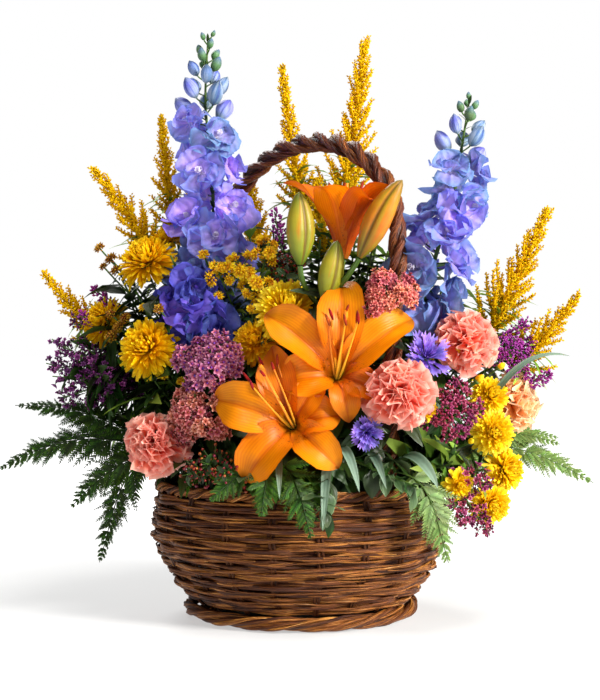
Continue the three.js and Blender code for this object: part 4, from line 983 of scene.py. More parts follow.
def lily_bud(name, base, tip, width, ripe):
    """A closed bud of three lobes with narrow furrows between them."""
    foot, end = mm(base), mm(tip)
    axis = unit(end - foot)
    side, up = across(axis)
    bend = side * 0.03 * np.linalg.norm(end - foot)
    path = bow(foot, unit(axis + 0.1 * bend), end, unit(axis - 0.15 * up), 30)
    half = np.interp(np.linspace(0, 1, 30), BUD_PLACES, BUD_HALF) * width * MM
    surface = Surface()
    tubes(surface, path, half, 48, 0.92, lobes)
    surface.piece(name + "_tepals", [bud_look(name, ripe)], "lily_bud", name)


def lobes(angle):
    """A bud's relief: three lobes, with narrow furrows between them."""
    return 0.07 * np.cos(3 * angle) - 0.14 * np.maximum(0, np.cos(3 * angle + math.pi)) ** 9


def lily_stem():
    """The branching stem that carries the open bloom at the back and the three buds."""
    rng = draws("lily_stem")
    surface = Surface()
    fork = mm(LILY_FORK)
    main = stem_line(LILY_SPOT, fork, UP, 22)
    rod(surface, main, np.linspace(3.6, 3.0, len(main)), 9, 0.4)
    add_leaves(surface, rng, main[3:], 16, 84, 0.1, 1.0, 0.115)
    back = LILIES["lily_back"]
    ends = [(mm(one["base"]), unit(mm(one["tip"]) - mm(one["base"]))) for one in BUDS.values()]
    for k, (end, axis) in enumerate([*ends, (mm(back["base"]), unit(back["face"]))]):
        twig = bow(fork - (2 + k) * MM * UP, UP, end - MM * axis, axis, 12)
        rod(surface, twig, np.linspace(2.2, 2.6, 12), 8)
        add_leaves(surface, rng, twig, 2, 46, 0.15, 0.6, 0.12)
    surface.piece("lily_stem_leafy", [STEM, LEAF], "green_stem", "lily_stem")


# Delphiniums

SEPAL_SHEEN = {"rim": 0.5, "veins": 14.0, "relief": 0.5, "rough": 0.5, "gloss": 0.25, "mottle": 0.2}
SEPAL = petal_look(
    "delphinium_sepal", [(0.0, "f6f0fc"), (0.25, "ccbaf0"), (0.6, "aca0e8"), (1.0, "8090da")],
    edge="8098e0", brightness=0.34, hue=0.06, glow=0.4, **SEPAL_SHEEN)
# A darker, bluer copy of the sepal look: painted shade for the low spike that sits under the others.
SHADED_SEPAL = petal_look(
    "delphinium_sepal_shaded", [(0.0, "b8a4e0"), (0.3, "6c5cc4"), (0.65, "5450b4"), (1.0, "4448a4")],
    edge="4c54b4", brightness=0.45, hue=0.03, glow=0.35, **SEPAL_SHEEN)
BEE = petal_look(
    "delphinium_bee", [(0.0, "b89ce4"), (0.3, "e6dcf6"), (1.0, "fbf8fd")], brightness=0.12, glow=0.2)
DELPHINIUM_BUD = grain_look(
    "delphinium_bud", [(0.0, "56744a"), (0.25, "7c94c0"), (0.7, "6478c4"), (1.0, "4c6070")],
    brightness=0.3, hue=0.03, rough=0.5, glow=0.15, folds=1.6)
GREEN_BUD = grain_look(
    "delphinium_green_bud", [(0.0, "3c5a28"), (0.5, "56764c"), (1.0, "4c6484")],
    brightness=0.25, hue=0.03, rough=0.5)
# Whorls of sepals: number, tilt, length and half-width as shares of the floret's span, and curl
SEPAL_WHORLS = ((5, 1.15, 0.62, 0.42, -0.45), (5, 0.75, 0.46, 0.3, -0.25))
SPIKE_ROWS = 80
FLORETS_END = 0.69  # the share of a spike that carries florets
BUDS_START = 0.65
GREEN_START = 0.84


def floret(surface, rng, centre, axis, span, tone):
    """One semi-double floret: broad ruffled sepals in whorls, a pale eye and the spur behind."""
    root = centre - 0.16 * span * axis
    for number, tilt, length, half, curl in SEPAL_WHORLS:
        angle = TURN * (np.arange(number) + 0.5 * rng.random(number)) / number + TURN * rng.random()
        direction = lean(axis, tilt + 0.24 * rng.normal(size=number), angle)
        up = facing(axis, direction)
        lengths = span * length * (0.8 + 0.35 * rng.random(number))
        curls = curl + 0.45 * rng.normal(size=number)
        lines = grow_lines(root + 0.02 * span * direction, direction, up, lengths, curls, 8)
        halves = span * half * oval(8, 0.66, 0.5, 0.1, 0.3)[None] * (0.8 + 0.35 * rng.random((number, 1)))
        cup = 0.2 + 0.3 * rng.normal(size=number)
        ribbons(surface, lines, up, halves, 9, cup, 0.3, 1.5, 0.15, 2.4, fringe=0.03, teeth=5,
                phase=rng.random(number), twist=0.9 * (rng.random(number) - 0.5),
                tone=tone + 0.3 * (rng.random(number) - 0.5))
    petals = 7
    direction = lean(axis, 0.5 + 0.2 * rng.normal(size=petals), TURN * np.arange(petals) / petals)
    roots = np.repeat(root[None] + 0.1 * span * axis, petals, 0)
    lines = grow_lines(roots, direction, facing(axis, direction), np.full(petals, 0.24 * span), 0.6, 4)
    half = 0.07 * span * oval(4, 0.6, 0.6)[None]
    ribbons(surface, lines, facing(axis, direction), half, 3, 0.3, fringe=0.1, tone=rng.random(petals),
            look=1)
    spur = grow_lines(root[None], -axis[None], across(axis)[1][None], np.array([0.36 * span]), 0.8, 5)
    tubes(surface, spur, np.linspace(2.4, 0.8, 5) * MM, 5, tone=tone)


def spike_buds(surface, green, curve, count, reach, size):
    """Lobed buds that shrink and turn green towards the tip of a spike, on their stalks."""
    i = np.arange(count)
    t = BUDS_START + 0.35 * (i + 0.5) / count
    points, tangents = between_points(curve, t * (SPIKE_ROWS - 1))
    out = lean(tangents, 1.0 - 1.1 * (t - 0.64), i * GOLDEN_ANGLE + 0.6)
    width = size * MM * (0.74 - 1.6 * (t - BUDS_START))
    feet = points + out * (reach * MM * (1.45 - 1.2 * t))[:, None]
    lie = unit(out + 0.5 * tangents)
    for look, chosen in ((2, t < GREEN_START), (3, t >= GREEN_START)):
        beads(surface, feet[chosen], lie[chosen], width[chosen] * 1.3, width[chosen] * 0.78, 8, 10,
              scatter(i, 6)[chosen], look, 0.65, lambda angle: 0.09 * np.cos(5 * angle))
    tubes(green, bow(points, tangents, feet, out, 6), 0.75 * MM, 5, tone=scatter(i, 7))


def add_bracts(surface, stem, first):
    """Small narrow leaves all along a spike's stem."""
    count = 24
    k = np.linspace(first, len(stem) - 2, count).astype(int)
    tangent = unit(stem[k + 1] - stem[k])
    direction = lean(tangent, np.full(count, 0.7), k * 2.1)
    up = facing(tangent, direction)
    lines = grow_lines(stem[k], direction, up, np.full(count, 12 * MM), -0.4, 5)
    ribbons(surface, lines, up, 1.6 * MM * oval(5, 0.4)[None], 3, 0.3, look=1)


def delphinium(name, line, florets, buds, reach, size, spot, deep=False):
    """A tall spike: semi-double florets below and pointed buds towards the tip."""
    rng = draws(name)
    curve = smooth_line(mm(line), SPIKE_ROWS)
    surface, green = Surface(), Surface()
    i = np.arange(florets)
    t = FLORETS_END * ((i + 0.1) / florets) ** 1.12
    points, tangents = between_points(curve, t * (SPIKE_ROWS - 1))
    out = lean(tangents, 1.3 - 0.35 * scatter(i, 1), i * GOLDEN_ANGLE + 0.6)
    away = reach * MM * (1.2 - 0.4 * t) * (0.85 + 0.3 * scatter(i, 2))
    span = size * MM * (1.8 - 0.9 * t)
    centres = points + out * away[:, None]
    for k in range(florets):
        axis = unit(out[k] + 0.3 * rng.normal(size=3) + [0, -0.35, 0.1])
        tone = 0.1 + 0.75 * math.sin(math.pi * (0.12 + t[k])) * rng.random() ** 0.5
        floret(surface, rng, centres[k], axis, span[k], tone)
    stalks = bow(points, tangents, centres - 0.16 * span[:, None] * out, out, 6)
    tubes(green, stalks, 0.8 * MM, 5, tone=scatter(i, 5))
    spike_buds(surface, green, curve, buds, reach, size)
    stem = whole_stem(spot, curve, 20)
    rod(green, stem, np.linspace(2.8, 0.9, len(stem)), 7)
    add_leaves(green, rng, stem[2:20], 12, 60)
    add_bracts(green, stem, 20)
    # The low spike takes the darker copy for its sepals and for its pale eyes too: painted shade.
    looks = [SHADED_SEPAL, SHADED_SEPAL] if deep else [SEPAL, BEE]
    surface.piece(name + "_florets", looks + [DELPHINIUM_BUD, GREEN_BUD], "delphinium_blue", name)
    green.piece(name + "_stem", [STEM, LEAF], "green_stem")


# Carnations

def carnation_look(name, stops, edge):
    return petal_look(name, stops, edge, 0.8, brightness=0.08, hue=0.008, veins=9.0, rough=0.6, glow=0.36)


# The darker colours at the petals' roots are painted shade deep in the head, where the petals crowd together.
SALMON = carnation_look(
    "carnation_salmon", [(0.0, "bc2818"), (0.4, "f66650"), (0.78, "ff9078"), (1.0, "ffc8b8")], "ffb8a6")
PEACH = carnation_look(
    "carnation_peach", [(0.0, "e48a34"), (0.45, "fcb066"), (0.8, "ffc68c"), (1.0, "ffe2be")], "ffd4aa")
# Whorls of petals, the outer ones first: number, tilt, length as a share of the head's size, and curl
CARNATION_WHORLS = (
    (10, 1.8, 0.54, -0.5), (10, 1.5, 0.58, -0.45), (10, 1.2, 0.56, -0.4), (10, 0.92, 0.54, -0.3),
    (9, 0.64, 0.52, -0.2), (8, 0.4, 0.5, -0.1), (6, 0.16, 0.48, 0.0))
# Radii along a calyx, as shares of the head's size
CARNATION_CALYX = [0.04, 0.085, 0.1, 0.105, 0.105, 0.1, 0.11, 0.13]
CORNFLOWER_CALYX = [0.04, 0.11, 0.15, 0.16, 0.14, 0.11, 0.1]


def carnation(name, look, slot, centre, face, size, spot):
    """A full head of ruffled, fringed petals, with its calyx and stem."""
    rng = draws(name)
    middle, axis, size = flower_head(centre, face, size)
    root = middle - 0.1 * size * axis
    surface = Surface()
    for number, tilt, reach, curl in CARNATION_WHORLS:
        angle = TURN * (np.arange(number) + 0.7 * rng.random(number)) / number + TURN * rng.random()
        tilts = np.maximum(0.03, tilt + 0.2 * rng.normal(size=number))
        direction = unit(lean(axis, tilts, angle + 0.2 * rng.normal(size=number)) - [0, 0, 0.12 * tilt])
        up = facing(axis, direction)
        length = size * reach * (0.64 + 0.26 * rng.random(number))
        curls = curl + 0.45 * rng.normal(size=number)
        lines = grow_lines(root + 0.04 * size * direction, direction, up, length, curls, 9)
        half = (0.25 - 0.03 * tilt) * size * fan(9, 0.1, 1.1)[None] * (0.75 + 0.5 * rng.random((number, 1)))
        cup = -0.15 + 0.3 * rng.normal(size=number)
        pleats = 1.9 + 1.1 * rng.random((number, 1, 1))
        twist = 1.6 * (rng.random(number) - 0.5)
        ribbons(surface, lines, up, half, 15, cup, 0.3, 1.0, 0.5 - 0.16 * tilt, pleats, fringe=0.03, teeth=9,
                bow_back=0.3, twist=twist, phase=rng.random(number), tone=rng.random(number))
    surface.piece(name + "_petals", [look], slot, name)
    foot = middle - 0.42 * size * axis
    leafy_stem(name + "_stem", spot, foot, axis, 4, leaves=9, size=56)
    path = foot + np.linspace(0, 1, 8)[:, None] * (0.34 * size * axis)
    calyx(name, path, size * np.array(CARNATION_CALYX))


def calyx(name, path, radius):
    """The green cup under a head."""
    cup = Surface()
    tubes(cup, path, radius, 12)
    cup.piece(name + "_calyx", [STEM], "green_stem")


# Chrysanthemums and their kin

GOLD = petal_look(
    "chrysanthemum", [(0.0, "a86c00"), (0.35, "e8ac00"), (0.8, "fccc00"), (1.0, "ffdc20")],
    brightness=0.12, hue=0.01, veins=4.0, glow=0.34, gloss=0.2)
BRIGHT = petal_look(
    "chrysanthemum_bright", [(0.0, "dca400"), (0.35, "fccc00"), (0.8, "ffdc04"), (1.0, "ffe834")],
    brightness=0.1, hue=0.008, veins=4.0)
OCHRE = petal_look(
    "button_ochre", [(0.0, "b07404"), (0.4, "f0b404"), (1.0, "ffd010")], brightness=0.2, glow=0.34)
RAY_SHAPE = np.array([0.4, 0.62, 0.82, 0.97, 1.0, 0.92, 0.5])
CUP_RADII = np.array([0.05, 0.12, 0.17, 0.2, 0.21])
LARGE_SIZE = 46  # heads of more millimetres than this are large
# Half-width of a ray as a share of the head's size, and the number of rays
LARGE_RAYS = (0.037, 290)
SMALL_RAYS = (0.046, 240)


def mum_head(surface, rng, centre, face, size, slim, number):
    """A dense head: short rolled florets close in over the middle and longer ones spread around them."""
    middle, axis, size = flower_head(centre, face, size)
    root = middle - 0.14 * size * axis
    share = (np.arange(number) + 0.5) / number
    tilt = np.maximum(0.02, 1.8 * share ** 0.58 + 0.06 * rng.normal(size=number))
    direction = lean(axis, tilt, GOLDEN_ANGLE * np.arange(number) + 0.1 * rng.normal(size=number))
    up = facing(axis, direction)
    length = size * (0.35 + 0.17 * share ** 2.2) * (0.9 + 0.18 * rng.random(number))
    curl = 0.9 - 1.2 * share ** 2 + 0.18 * rng.normal(size=number)
    lines = grow_lines(root + 0.04 * size * direction, direction, up, length, curl, 7)
    half = slim * size * RAY_SHAPE[None] * (0.62 + 0.5 * share[:, None])
    half = half * (0.85 + 0.3 * rng.random((number, 1)))
    ribbons(surface, lines, up, half, 3, 0.6, fringe=0.07, teeth=2, phase=0.5, tone=rng.random(number),
            twist=0.4 * (rng.random(number) - 0.5))


def chrysanthemum(name, look, slot, heads, spot, fork=None):
    """One head on its stem, or several on twigs from a fork."""
    rng = draws(name)
    surface, green = Surface(), Surface()
    for head in heads:
        mum_head(surface, rng, *head, *(LARGE_RAYS if head[2] > LARGE_SIZE else SMALL_RAYS))
    surface.piece(name + "_petals", [look], slot, name)
    placed = [flower_head(*head) for head in heads]
    feet = [(middle - 0.2 * size * axis, axis, size) for middle, axis, size in placed]
    if fork:
        trunk = mm(fork)
        heading = unit(np.mean([middle for middle, axis, size in placed], axis=0) - trunk)
        main = stem_line(spot, trunk, heading, 16)
        for foot, axis, size in feet:
            twig = bow(trunk, heading, foot, axis, 8)
            rod(green, twig, 1.5, 6, rng.random())
            add_leaves(green, rng, twig, 3, 26, 0.2, 0.9, 0.3)
    else:
        main = stem_line(spot, feet[0][0], feet[0][1], 18)
    rod(green, main, 2.2, 7, rng.random())
    add_leaves(green, rng, main[2:], 10, 46, 0.2, 0.95, 0.24)
    for foot, axis, size in feet:
        path = foot + np.linspace(-0.06, 0.12, len(CUP_RADII))[:, None] * size * axis
        tubes(green, path, size * CUP_RADII, 12, tone=0.4)
    green.piece(name + "_stem", [STEM, LEAF], "green_stem")


# Cornflowers and small florets

VIOLET = petal_look(
    "cornflower_violet", [(0.0, "4c2c9c"), (0.5, "7454c4"), (1.0, "a08ae8")],
    brightness=0.2, hue=0.02, glow=0.28)
# Whorls of florets: number, tilt, length and half-width as shares of the head's size, and curl
CORNFLOWER_WHORLS = (
    (14, 1.2, 0.52, 0.11, -0.1), (12, 0.85, 0.42, 0.08, 0.1), (26, 0.45, 0.3, 0.02, 0.2))


def cornflower(name, centre, face, size, spot):
    """A head of toothed trumpet florets round a tuft of narrow ones, with its calyx and stem."""
    rng = draws(name)
    middle, axis, size = flower_head(centre, face, size)
    root = middle - 0.15 * size * axis
    surface = Surface()
    for number, tilt, reach, half, curl in CORNFLOWER_WHORLS:
        angle = TURN * (np.arange(number) + 0.5 * rng.random(number)) / number
        direction = lean(axis, np.maximum(0.05, tilt + 0.14 * rng.normal(size=number)), angle)
        up = facing(axis, direction)
        length = size * reach * (0.85 + 0.3 * rng.random(number))
        lines = grow_lines(root + 0.06 * size * direction, direction, up, length, curl, 7)
        halves = half * size * fan(7, 0.15, 1.5)[None]
        ribbons(surface, lines, up, halves, 9, 0.5, 0.2, 1.2, fringe=0.3, teeth=5, phase=0.5,
                tone=rng.random(number))
    surface.piece(name + "_florets", [VIOLET], "cornflower_violet", name)
    foot = middle - 0.34 * size * axis
    leafy_stem(name + "_stem", spot, foot, axis, 3, leaves=7, size=44)
    path = foot + np.linspace(-0.05, 0.3, 7)[:, None] * size * axis
    calyx(name, path, size * np.array(CORNFLOWER_CALYX))


def stars(surface, rng, places, axes, radius, tone=None, slim=0.4):
    """Small five-petalled florets, each with a raised centre."""
    count, petals = len(places), 5
    tone = rng.random(count) if tone is None else tone
    radius = np.broadcast_to(radius, (count,))
    angle = TURN * (np.arange(petals)[None] / petals + rng.random(count)[:, None])
    axis = np.repeat(axes[:, None], petals, 1)
    direction = lean(axis, 0.95 + 0.3 * rng.normal(size=(count, petals)), angle)
    up = facing(axis, direction)
    length = np.repeat(radius, petals)
    lines = grow_lines(np.repeat(places, petals, 0), joined(direction), joined(up), length, -0.4, 3)
    half = slim * length[:, None] * np.array([[0.5, 1.0, 0.2]])
    ribbons(surface, lines, joined(up), half, 2, tone=np.repeat(tone, petals))
    beads(surface, places - 0.1 * radius[:, None] * axes, axes, radius * 0.6, radius * 0.5, 3, 4,
          rng.random(count), 1)


def star_looks(name, root, middle, tip, dark, heart):
    """The looks of a starry head: petals, hearts, stem and leaves."""
    petal = petal_look(
        name, [(0.0, root), (0.5, middle), (1.0, tip)], brightness=0.38, hue=0.035, glow=0.25, mottle=0.15)
    return [petal, grain_look(name + "_heart", [(0.0, dark), (1.0, heart)], 0.25, 0.03), STEM, LEAF]


# Petals' colours at root, middle and tip, and the dark and light colours of the heart
STAR_COLOURS = (
    ("stonecrop_mauve", "681c34", "b05074", "e09cb4", "5a1c60", "7c3cb0"),
    ("stonecrop_rose", "6e241c", "b44a48", "e49c96", "4c5424", "a83c30"),
    ("stonecrop_coral", "7a2420", "c44848", "f09c92", "5e1c18", "a83c3c"),
    ("stonecrop_burgundy", "480c1e", "942a50", "d4749e", "4a0e20", "9a305a"),
    ("stonecrop_magenta", "500a44", "982484", "cc60bc", "560e4c", "a43498"),
    ("statice_purple", "34103c", "782c74", "b05ca8", "2c0c30", "702a68"))
STAR_LOOKS = {colours[0]: star_looks(*colours) for colours in STAR_COLOURS}


def stonecrop(name, slot, centre, face, size, spot, loose):
    """A broad head on branching stalks: uneven clumps of starry florets, or of round buds if it is loose."""
    rng = draws(name)
    middle, axis, size = flower_head(centre, face, size)
    surface = Surface()
    foot = middle - 0.32 * size * axis
    clumps, each, spread = (18, 16, 0.07) if loose else (15, 21, 0.1)
    c = np.arange(clumps)
    turn = GOLDEN_ANGLE * c + 0.8 * rng.random(clumps)
    toward = lean(axis, np.arccos(1 - (c + 0.5) / clumps), turn)
    hubs = toward * (size * (0.27 + 0.26 * rng.random(clumps)))[:, None]
    hubs = middle - 0.08 * size * axis + hubs - 0.35 * dot(hubs, axis) * axis
    stalks = bow(foot + 0 * hubs, unit(toward + axis), hubs, toward, 6)
    tubes(surface, stalks, 0.9 * MM, 4, tone=rng.random(clumps), look=2)
    i = np.tile(np.arange(each), clumps)
    hub, way = np.repeat(hubs, each, 0), np.repeat(unit(toward + 0.6 * axis), each, 0)
    direction = lean(way, np.arccos(1 - 0.95 * (i + 0.5) / each), GOLDEN_ANGLE * i + np.repeat(c, each))
    count = len(i)
    tone = 0.65 * np.repeat(rng.random(clumps), each) + 0.35 * rng.random(count)
    places = hub + direction * (size * (spread + 0.1 * rng.random(count)))[:, None]
    lie = unit(direction + 0.4 * way + 0.4 * rng.normal(size=(count, 3)))
    tubes(surface, bow(hub, way, places, direction, 3), 0.45 * MM, 3, tone=rng.random(count), look=2)
    if loose:
        beads(surface, places, lie, size * (0.06 + 0.03 * rng.random(count)), size * 0.054, tone=tone, look=1)
        stars(surface, rng, places[::3], lie[::3], size * 0.07, tone[::3])
    else:
        stars(surface, rng, places, lie, size * (0.065 + 0.04 * rng.random(count)), tone, slim=0.36)
    surface.piece(name + "_florets", STAR_LOOKS[slot], slot, name)
    leafy_stem(name + "_stem", spot, foot, axis, 3.4, leaves=9, size=44)


ASTER = [
    petal_look("aster_yellow", [(0.0, "d09404"), (0.5, "f6cc10"), (1.0, "ffe030")], brightness=0.2, hue=0.02),
    grain_look("aster_heart", [(0.0, "d09404"), (0.6, "ffc408"), (1.0, "ffdc30")], 0.25, 0.03, glow=0.2),
    STEM, LEAF]
BROWN = [
    petal_look("brown_button", [(0.0, "5c3408"), (0.5, "94600c"), (1.0, "b8841c")], brightness=0.3, hue=0.03),
    grain_look("brown_button_heart", [(0.0, "60360a"), (0.6, "a0680e"), (1.0, "c08c20")], 0.3, 0.03),
    STEM, LEAF]
BERRY = [
    grain_look("berry_red", [(0.0, "380804"), (0.5, "6c1008"), (0.9, "941e0c"), (1.0, "280a04")],
               0.4, 0.03, rough=0.35, gloss=0.4),
    grain_look("berry_orange", [(0.0, "8a3a10"), (0.6, "c8641c"), (1.0, "7a3410")],
               0.25, 0.03, rough=0.35, gloss=0.5),
    STEM, LEAF]


def star_heads(surface, rng, roots, places, direction):
    """A starry floret at the end of each stalk, and buds along it."""
    count = len(places)
    stars(surface, rng, places, direction, 3.4 * MM * (0.8 + 0.5 * rng.random(count)))
    for share in np.linspace(0.4, 0.92, 4):
        near = roots * (1 - share) + places * share + 1.3 * MM * rng.normal(size=(count, 3))
        lie = unit(direction + 0.8 * rng.normal(size=(count, 3)))
        beads(surface, near, lie, (4.4 - 1.4 * share) * MM, 2.9 * MM, 3, 4, rng.random(count), 1)


def ball(surface, rng, place, axis, radius):
    """A small round flower head of short blunt florets."""
    count, rays = 28, 12
    i = np.arange(count)
    direction = lean(axis, np.arccos(1 - 1.35 * (i + 0.5) / count), GOLDEN_ANGLE * i)
    beads(surface, place + 0.5 * radius * direction, direction, 0.62 * radius, 0.4 * radius, 3, 4,
          rng.random(count), 1)
    outer = lean(axis, 1.3 + 0.15 * rng.normal(size=rays), TURN * np.arange(rays) / rays)
    up = facing(axis, outer)
    lines = grow_lines(np.repeat(place[None], rays, 0), outer, up, np.full(rays, 1.3 * radius), 0.2, 4)
    ribbons(surface, lines, up, 0.28 * radius * np.array([[0.6, 1, 1, 0.4]]), 3, 0.3, tone=rng.random(rays))


def berries(surface, rng, places, direction):
    """Round red berries, with an orange one here and there."""
    count = len(places)
    sizes = 2.9 * MM * (0.7 + 0.5 * rng.random(count))
    orange = rng.random(count) < 0.08
    for look, chosen in ((0, ~orange), (1, orange)):
        if chosen.any():
            beads(surface, places[chosen], direction[chosen], sizes[chosen] * 1.1, sizes[chosen], 5, 5,
                  rng.random(chosen.sum()), look, 0.5)


SPRAY_COUNTS = {"star": 36, "ball": 7, "berry": 62}
STAR_LENGTH = 1.5  # how much longer a spray of stars is than its table says


def spray(name, slot, kind, fork, tips, width, length, spot):
    """Twigs from a fork, each with side twigs that carry florets, berries or small heads."""
    rng = draws(name)
    surface = Surface()
    trunk, ends = mm(fork), mm(tips)
    heading = unit(ends.mean(axis=0) - trunk)
    main = stem_line(spot, trunk, heading, 16)
    rod(surface, main, 1.9, 6, look=2)
    count = SPRAY_COUNTS[kind]
    length = length * (STAR_LENGTH if kind == "star" else 1.0)
    i = np.arange(count)
    share = (i + 0.5) / count
    bulge = np.sin(math.pi * (0.16 + 0.7 * share))
    for end in ends:
        out = unit(end - trunk)
        twig = bow(trunk, heading, end, out, 10)
        rod(surface, twig, np.linspace(1.4, 0.6, 10), 5, rng.random(), 2)
        roots = end - out * ((length * share * 1.15 + 0.25 * width) * MM)[:, None]
        reach = 0.55 * width * MM * bulge * (0.35 + 0.85 * rng.random(count))
        tilt = 0.95 + 0.25 * rng.normal(size=count)
        direction = lean(out, tilt, GOLDEN_ANGLE * i + TURN * rng.random())
        places = roots + direction * reach[:, None] * 1.15
        stalks = bow(roots, unit(out + 0.4 * direction), places, direction, 5)
        tubes(surface, stalks, 0.45 * MM, 3, tone=rng.random(count), look=2)
        if kind == "star":
            star_heads(surface, rng, roots, places, direction)
        elif kind == "ball":
            for place, axis in zip(places, direction):
                ball(surface, rng, place, axis, 6.2 * MM * (0.7 + 0.5 * rng.random()))
            add_leaves(surface, rng, twig, 5, 20, 0.3, 0.9, 0.12, 3)
        else:
            berries(surface, rng, places, direction)
            add_leaves(surface, rng, twig, 22, 15, 0.1, 1.0, 0.25, 3)
        if slot == "statice_purple":
            add_leaves(surface, rng, twig, 8, 46, 0.0, 0.6, 0.13, 3)
    add_leaves(surface, rng, main[2:], 12, 50, 0.2, 0.95, 0.16, 3)
    looks = {"star": STAR_LOOKS.get(slot), "ball": ASTER, "berry": BERRY}[kind]
    surface.piece(name + "_heads", looks, slot, name)


# Goldenrod

GRAIN = grain_look(
    "goldenrod", [(0.0, "b08c04"), (0.35, "e8be00"), (0.8, "fad40a"), (1.0, "ffe23a")],
    brightness=0.16, hue=0.012, glow=0.42, gloss=0.1)
BRANCH_PITCH = 2.7  # millimetres of a plume to each side branch
GRAIN_PITCH = 0.96  # millimetres of a side branch to each floret
PLUME_ROWS = 60
BRANCH_ROWS = 8


def goldenrod(name, line, width, spot):
    """A plume of side branches that curve up, thick with tiny florets."""
    rng = draws(name)
    curve = smooth_line(mm(line), PLUME_ROWS)
    surface = Surface()
    length = np.linalg.norm(mm(line[-1]) - mm(line[0]))
    branches = max(30, int(length / (BRANCH_PITCH * MM)))
    i = np.arange(branches)
    t = 0.98 * (i + 0.5) / branches
    k = (t * (PLUME_ROWS - 1)).astype(int)
    tangent = unit(curve[k + 1] - curve[k])
    direction = lean(tangent, 1.1 - 0.45 * t, GOLDEN_ANGLE * i)
    reach = width * MM * 1.55 * (0.54 - 0.42 * t) * (0.75 + 0.5 * scatter(i, 7))
    up = facing(tangent, direction)
    ribs = grow_lines(curve[k], direction, up, reach, 0.55, BRANCH_ROWS)
    core = (2.9 - 1.5 * t)[:, None] * np.linspace(1, 0.3, BRANCH_ROWS)[None] * MM
    tubes(surface, ribs, core, 5, along=0.6, tone=0.35)
    for branch in zip(ribs, reach, up, core):
        add_grains(surface, rng, *branch)
    grains = 40
    tip = lean(unit(curve[-1] - curve[-4]), 0.6 * rng.random(grains), TURN * rng.random(grains))
    k = np.linspace(40, PLUME_ROWS - 1, grains).astype(int)
    beads(surface, curve[k], tip, 4.0 * MM, 2.4 * MM, 3, 4, rng.random(grains))
    stem = whole_stem(spot, curve, 18)
    rod(surface, stem, np.linspace(1.9, 0.6, len(stem)), 6, look=1)
    add_leaves(surface, rng, stem[3:40], 44, 46, 0.12, 1.0, 0.08, 2)
    surface.piece(name + "_plume", [GRAIN, STEM, LIME], "goldenrod_gold", name)


def add_grains(surface, rng, rib, reach, upward, core):
    """Tiny florets all over one side branch, turned up a little."""
    count = max(8, int(reach / (GRAIN_PITCH * MM)))
    place = (np.arange(count) + rng.random(count)) / count * (BRANCH_ROWS - 1.01)
    roots, heading = between_points(rib, place)
    outward = lean(heading, 0.9 + 0.2 * rng.normal(size=count), GOLDEN_ANGLE * np.arange(count))
    outward = unit(outward + 0.25 * upward)
    size = MM * (3.1 + 1.4 * rng.random(count)) * (1.1 - 0.35 * place / (BRANCH_ROWS - 1))
    roots = roots + outward * core[place.astype(int)][:, None] * 0.8
    beads(surface, roots, outward, size, size * 0.76, 3, 3, rng.random(count))


# Fronds and broad leaves

FERN = petal_look(
    "fern", [(0.0, "172a06"), (0.5, "2a480a"), (1.0, "567e18")],
    brightness=0.3, hue=0.02, veins=4.0, rough=0.5, glow=0.2, gloss=0.3)
LIGHT_FERN = petal_look(
    "fern_light", [(0.0, "1e3a0c"), (0.5, "3a6216"), (1.0, "629028")],
    brightness=0.25, hue=0.02, veins=4.0, rough=0.5, glow=0.28)
CEDAR = petal_look(
    "cedar", [(0.0, "4a6426"), (0.5, "6e8c42"), (1.0, "9cb468")],
    brightness=0.2, hue=0.02, rough=0.5, glow=0.2)
PALE = petal_look(
    "pale_leaf", [(0.0, "486240"), (0.5, "66806a"), (1.0, "88a088")], edge="7c947a", rim=0.7,
    brightness=0.2, hue=0.02, veins=8.0, rough=0.5, glow=0.25)
SILVER = petal_look(
    "eucalyptus", [(0.0, "24361a"), (0.5, "3e5432"), (1.0, "5c7048")], edge="748860", rim=0.8,
    brightness=0.45, hue=0.02, veins=10.0, rough=0.45, glow=0.2)
FROND_ROWS = 64
LEAFLETS = 10


def frond(surface, rng, hub, normal, tip, arch, length, fern):
    """One frond: a rib with side branches that shorten to its tip, each with leaflets on both sides."""
    start, end = mm(hub), mm(tip)
    leave, arrive = (unit(unit(end - start) + bend * UP) for bend in (arch, -arch))
    path = bow(start, leave, end, arrive, FROND_ROWS)
    rod(surface, path[::3], np.linspace(1.0, 0.4, len(path[::3])), 5)
    span = np.linalg.norm(path[-1] - path[0])
    pairs = max(10, int(span / ((6.8 if fern else 8.0) * MM)))
    t = 0.04 + 0.95 * ((np.arange(pairs) + 0.5) / pairs) ** 0.62
    k = np.minimum((t * (FROND_ROWS - 1)).astype(int), FROND_ROWS - 2)
    tangent = unit(path[k + 1] - path[k])
    if fern:
        taper = np.sin(math.pi / 2 * np.minimum(1, t / 0.22)) * (1 - t) ** 0.85
    else:
        taper = np.sin(math.pi * (0.3 + 0.68 * t))
    reach = length * MM * (1.6 if fern else 1.2) * taper * (0.7 + 0.5 * rng.random(pairs)) + MM
    for hand in (1, -1):
        side = unit(np.cross(tangent, normal)) * hand
        stray = 0.14 * rng.normal(size=(pairs, 3))
        direction = unit(side + (0.7 + 0.6 * t)[:, None] * tangent - 0.15 * normal + stray)
        up = facing(normal, direction)
        curl = -0.2 + 0.2 * rng.normal(size=pairs)
        ribs = grow_lines(path[k], direction, up, reach, curl, LEAFLETS + 1)
        tubes(surface, ribs[:, ::2], 0.35 * MM, 3, along=0.3, tone=0.4)
        for way in (1, -1):
            add_leaflets(surface, rng, ribs, up, reach, way)


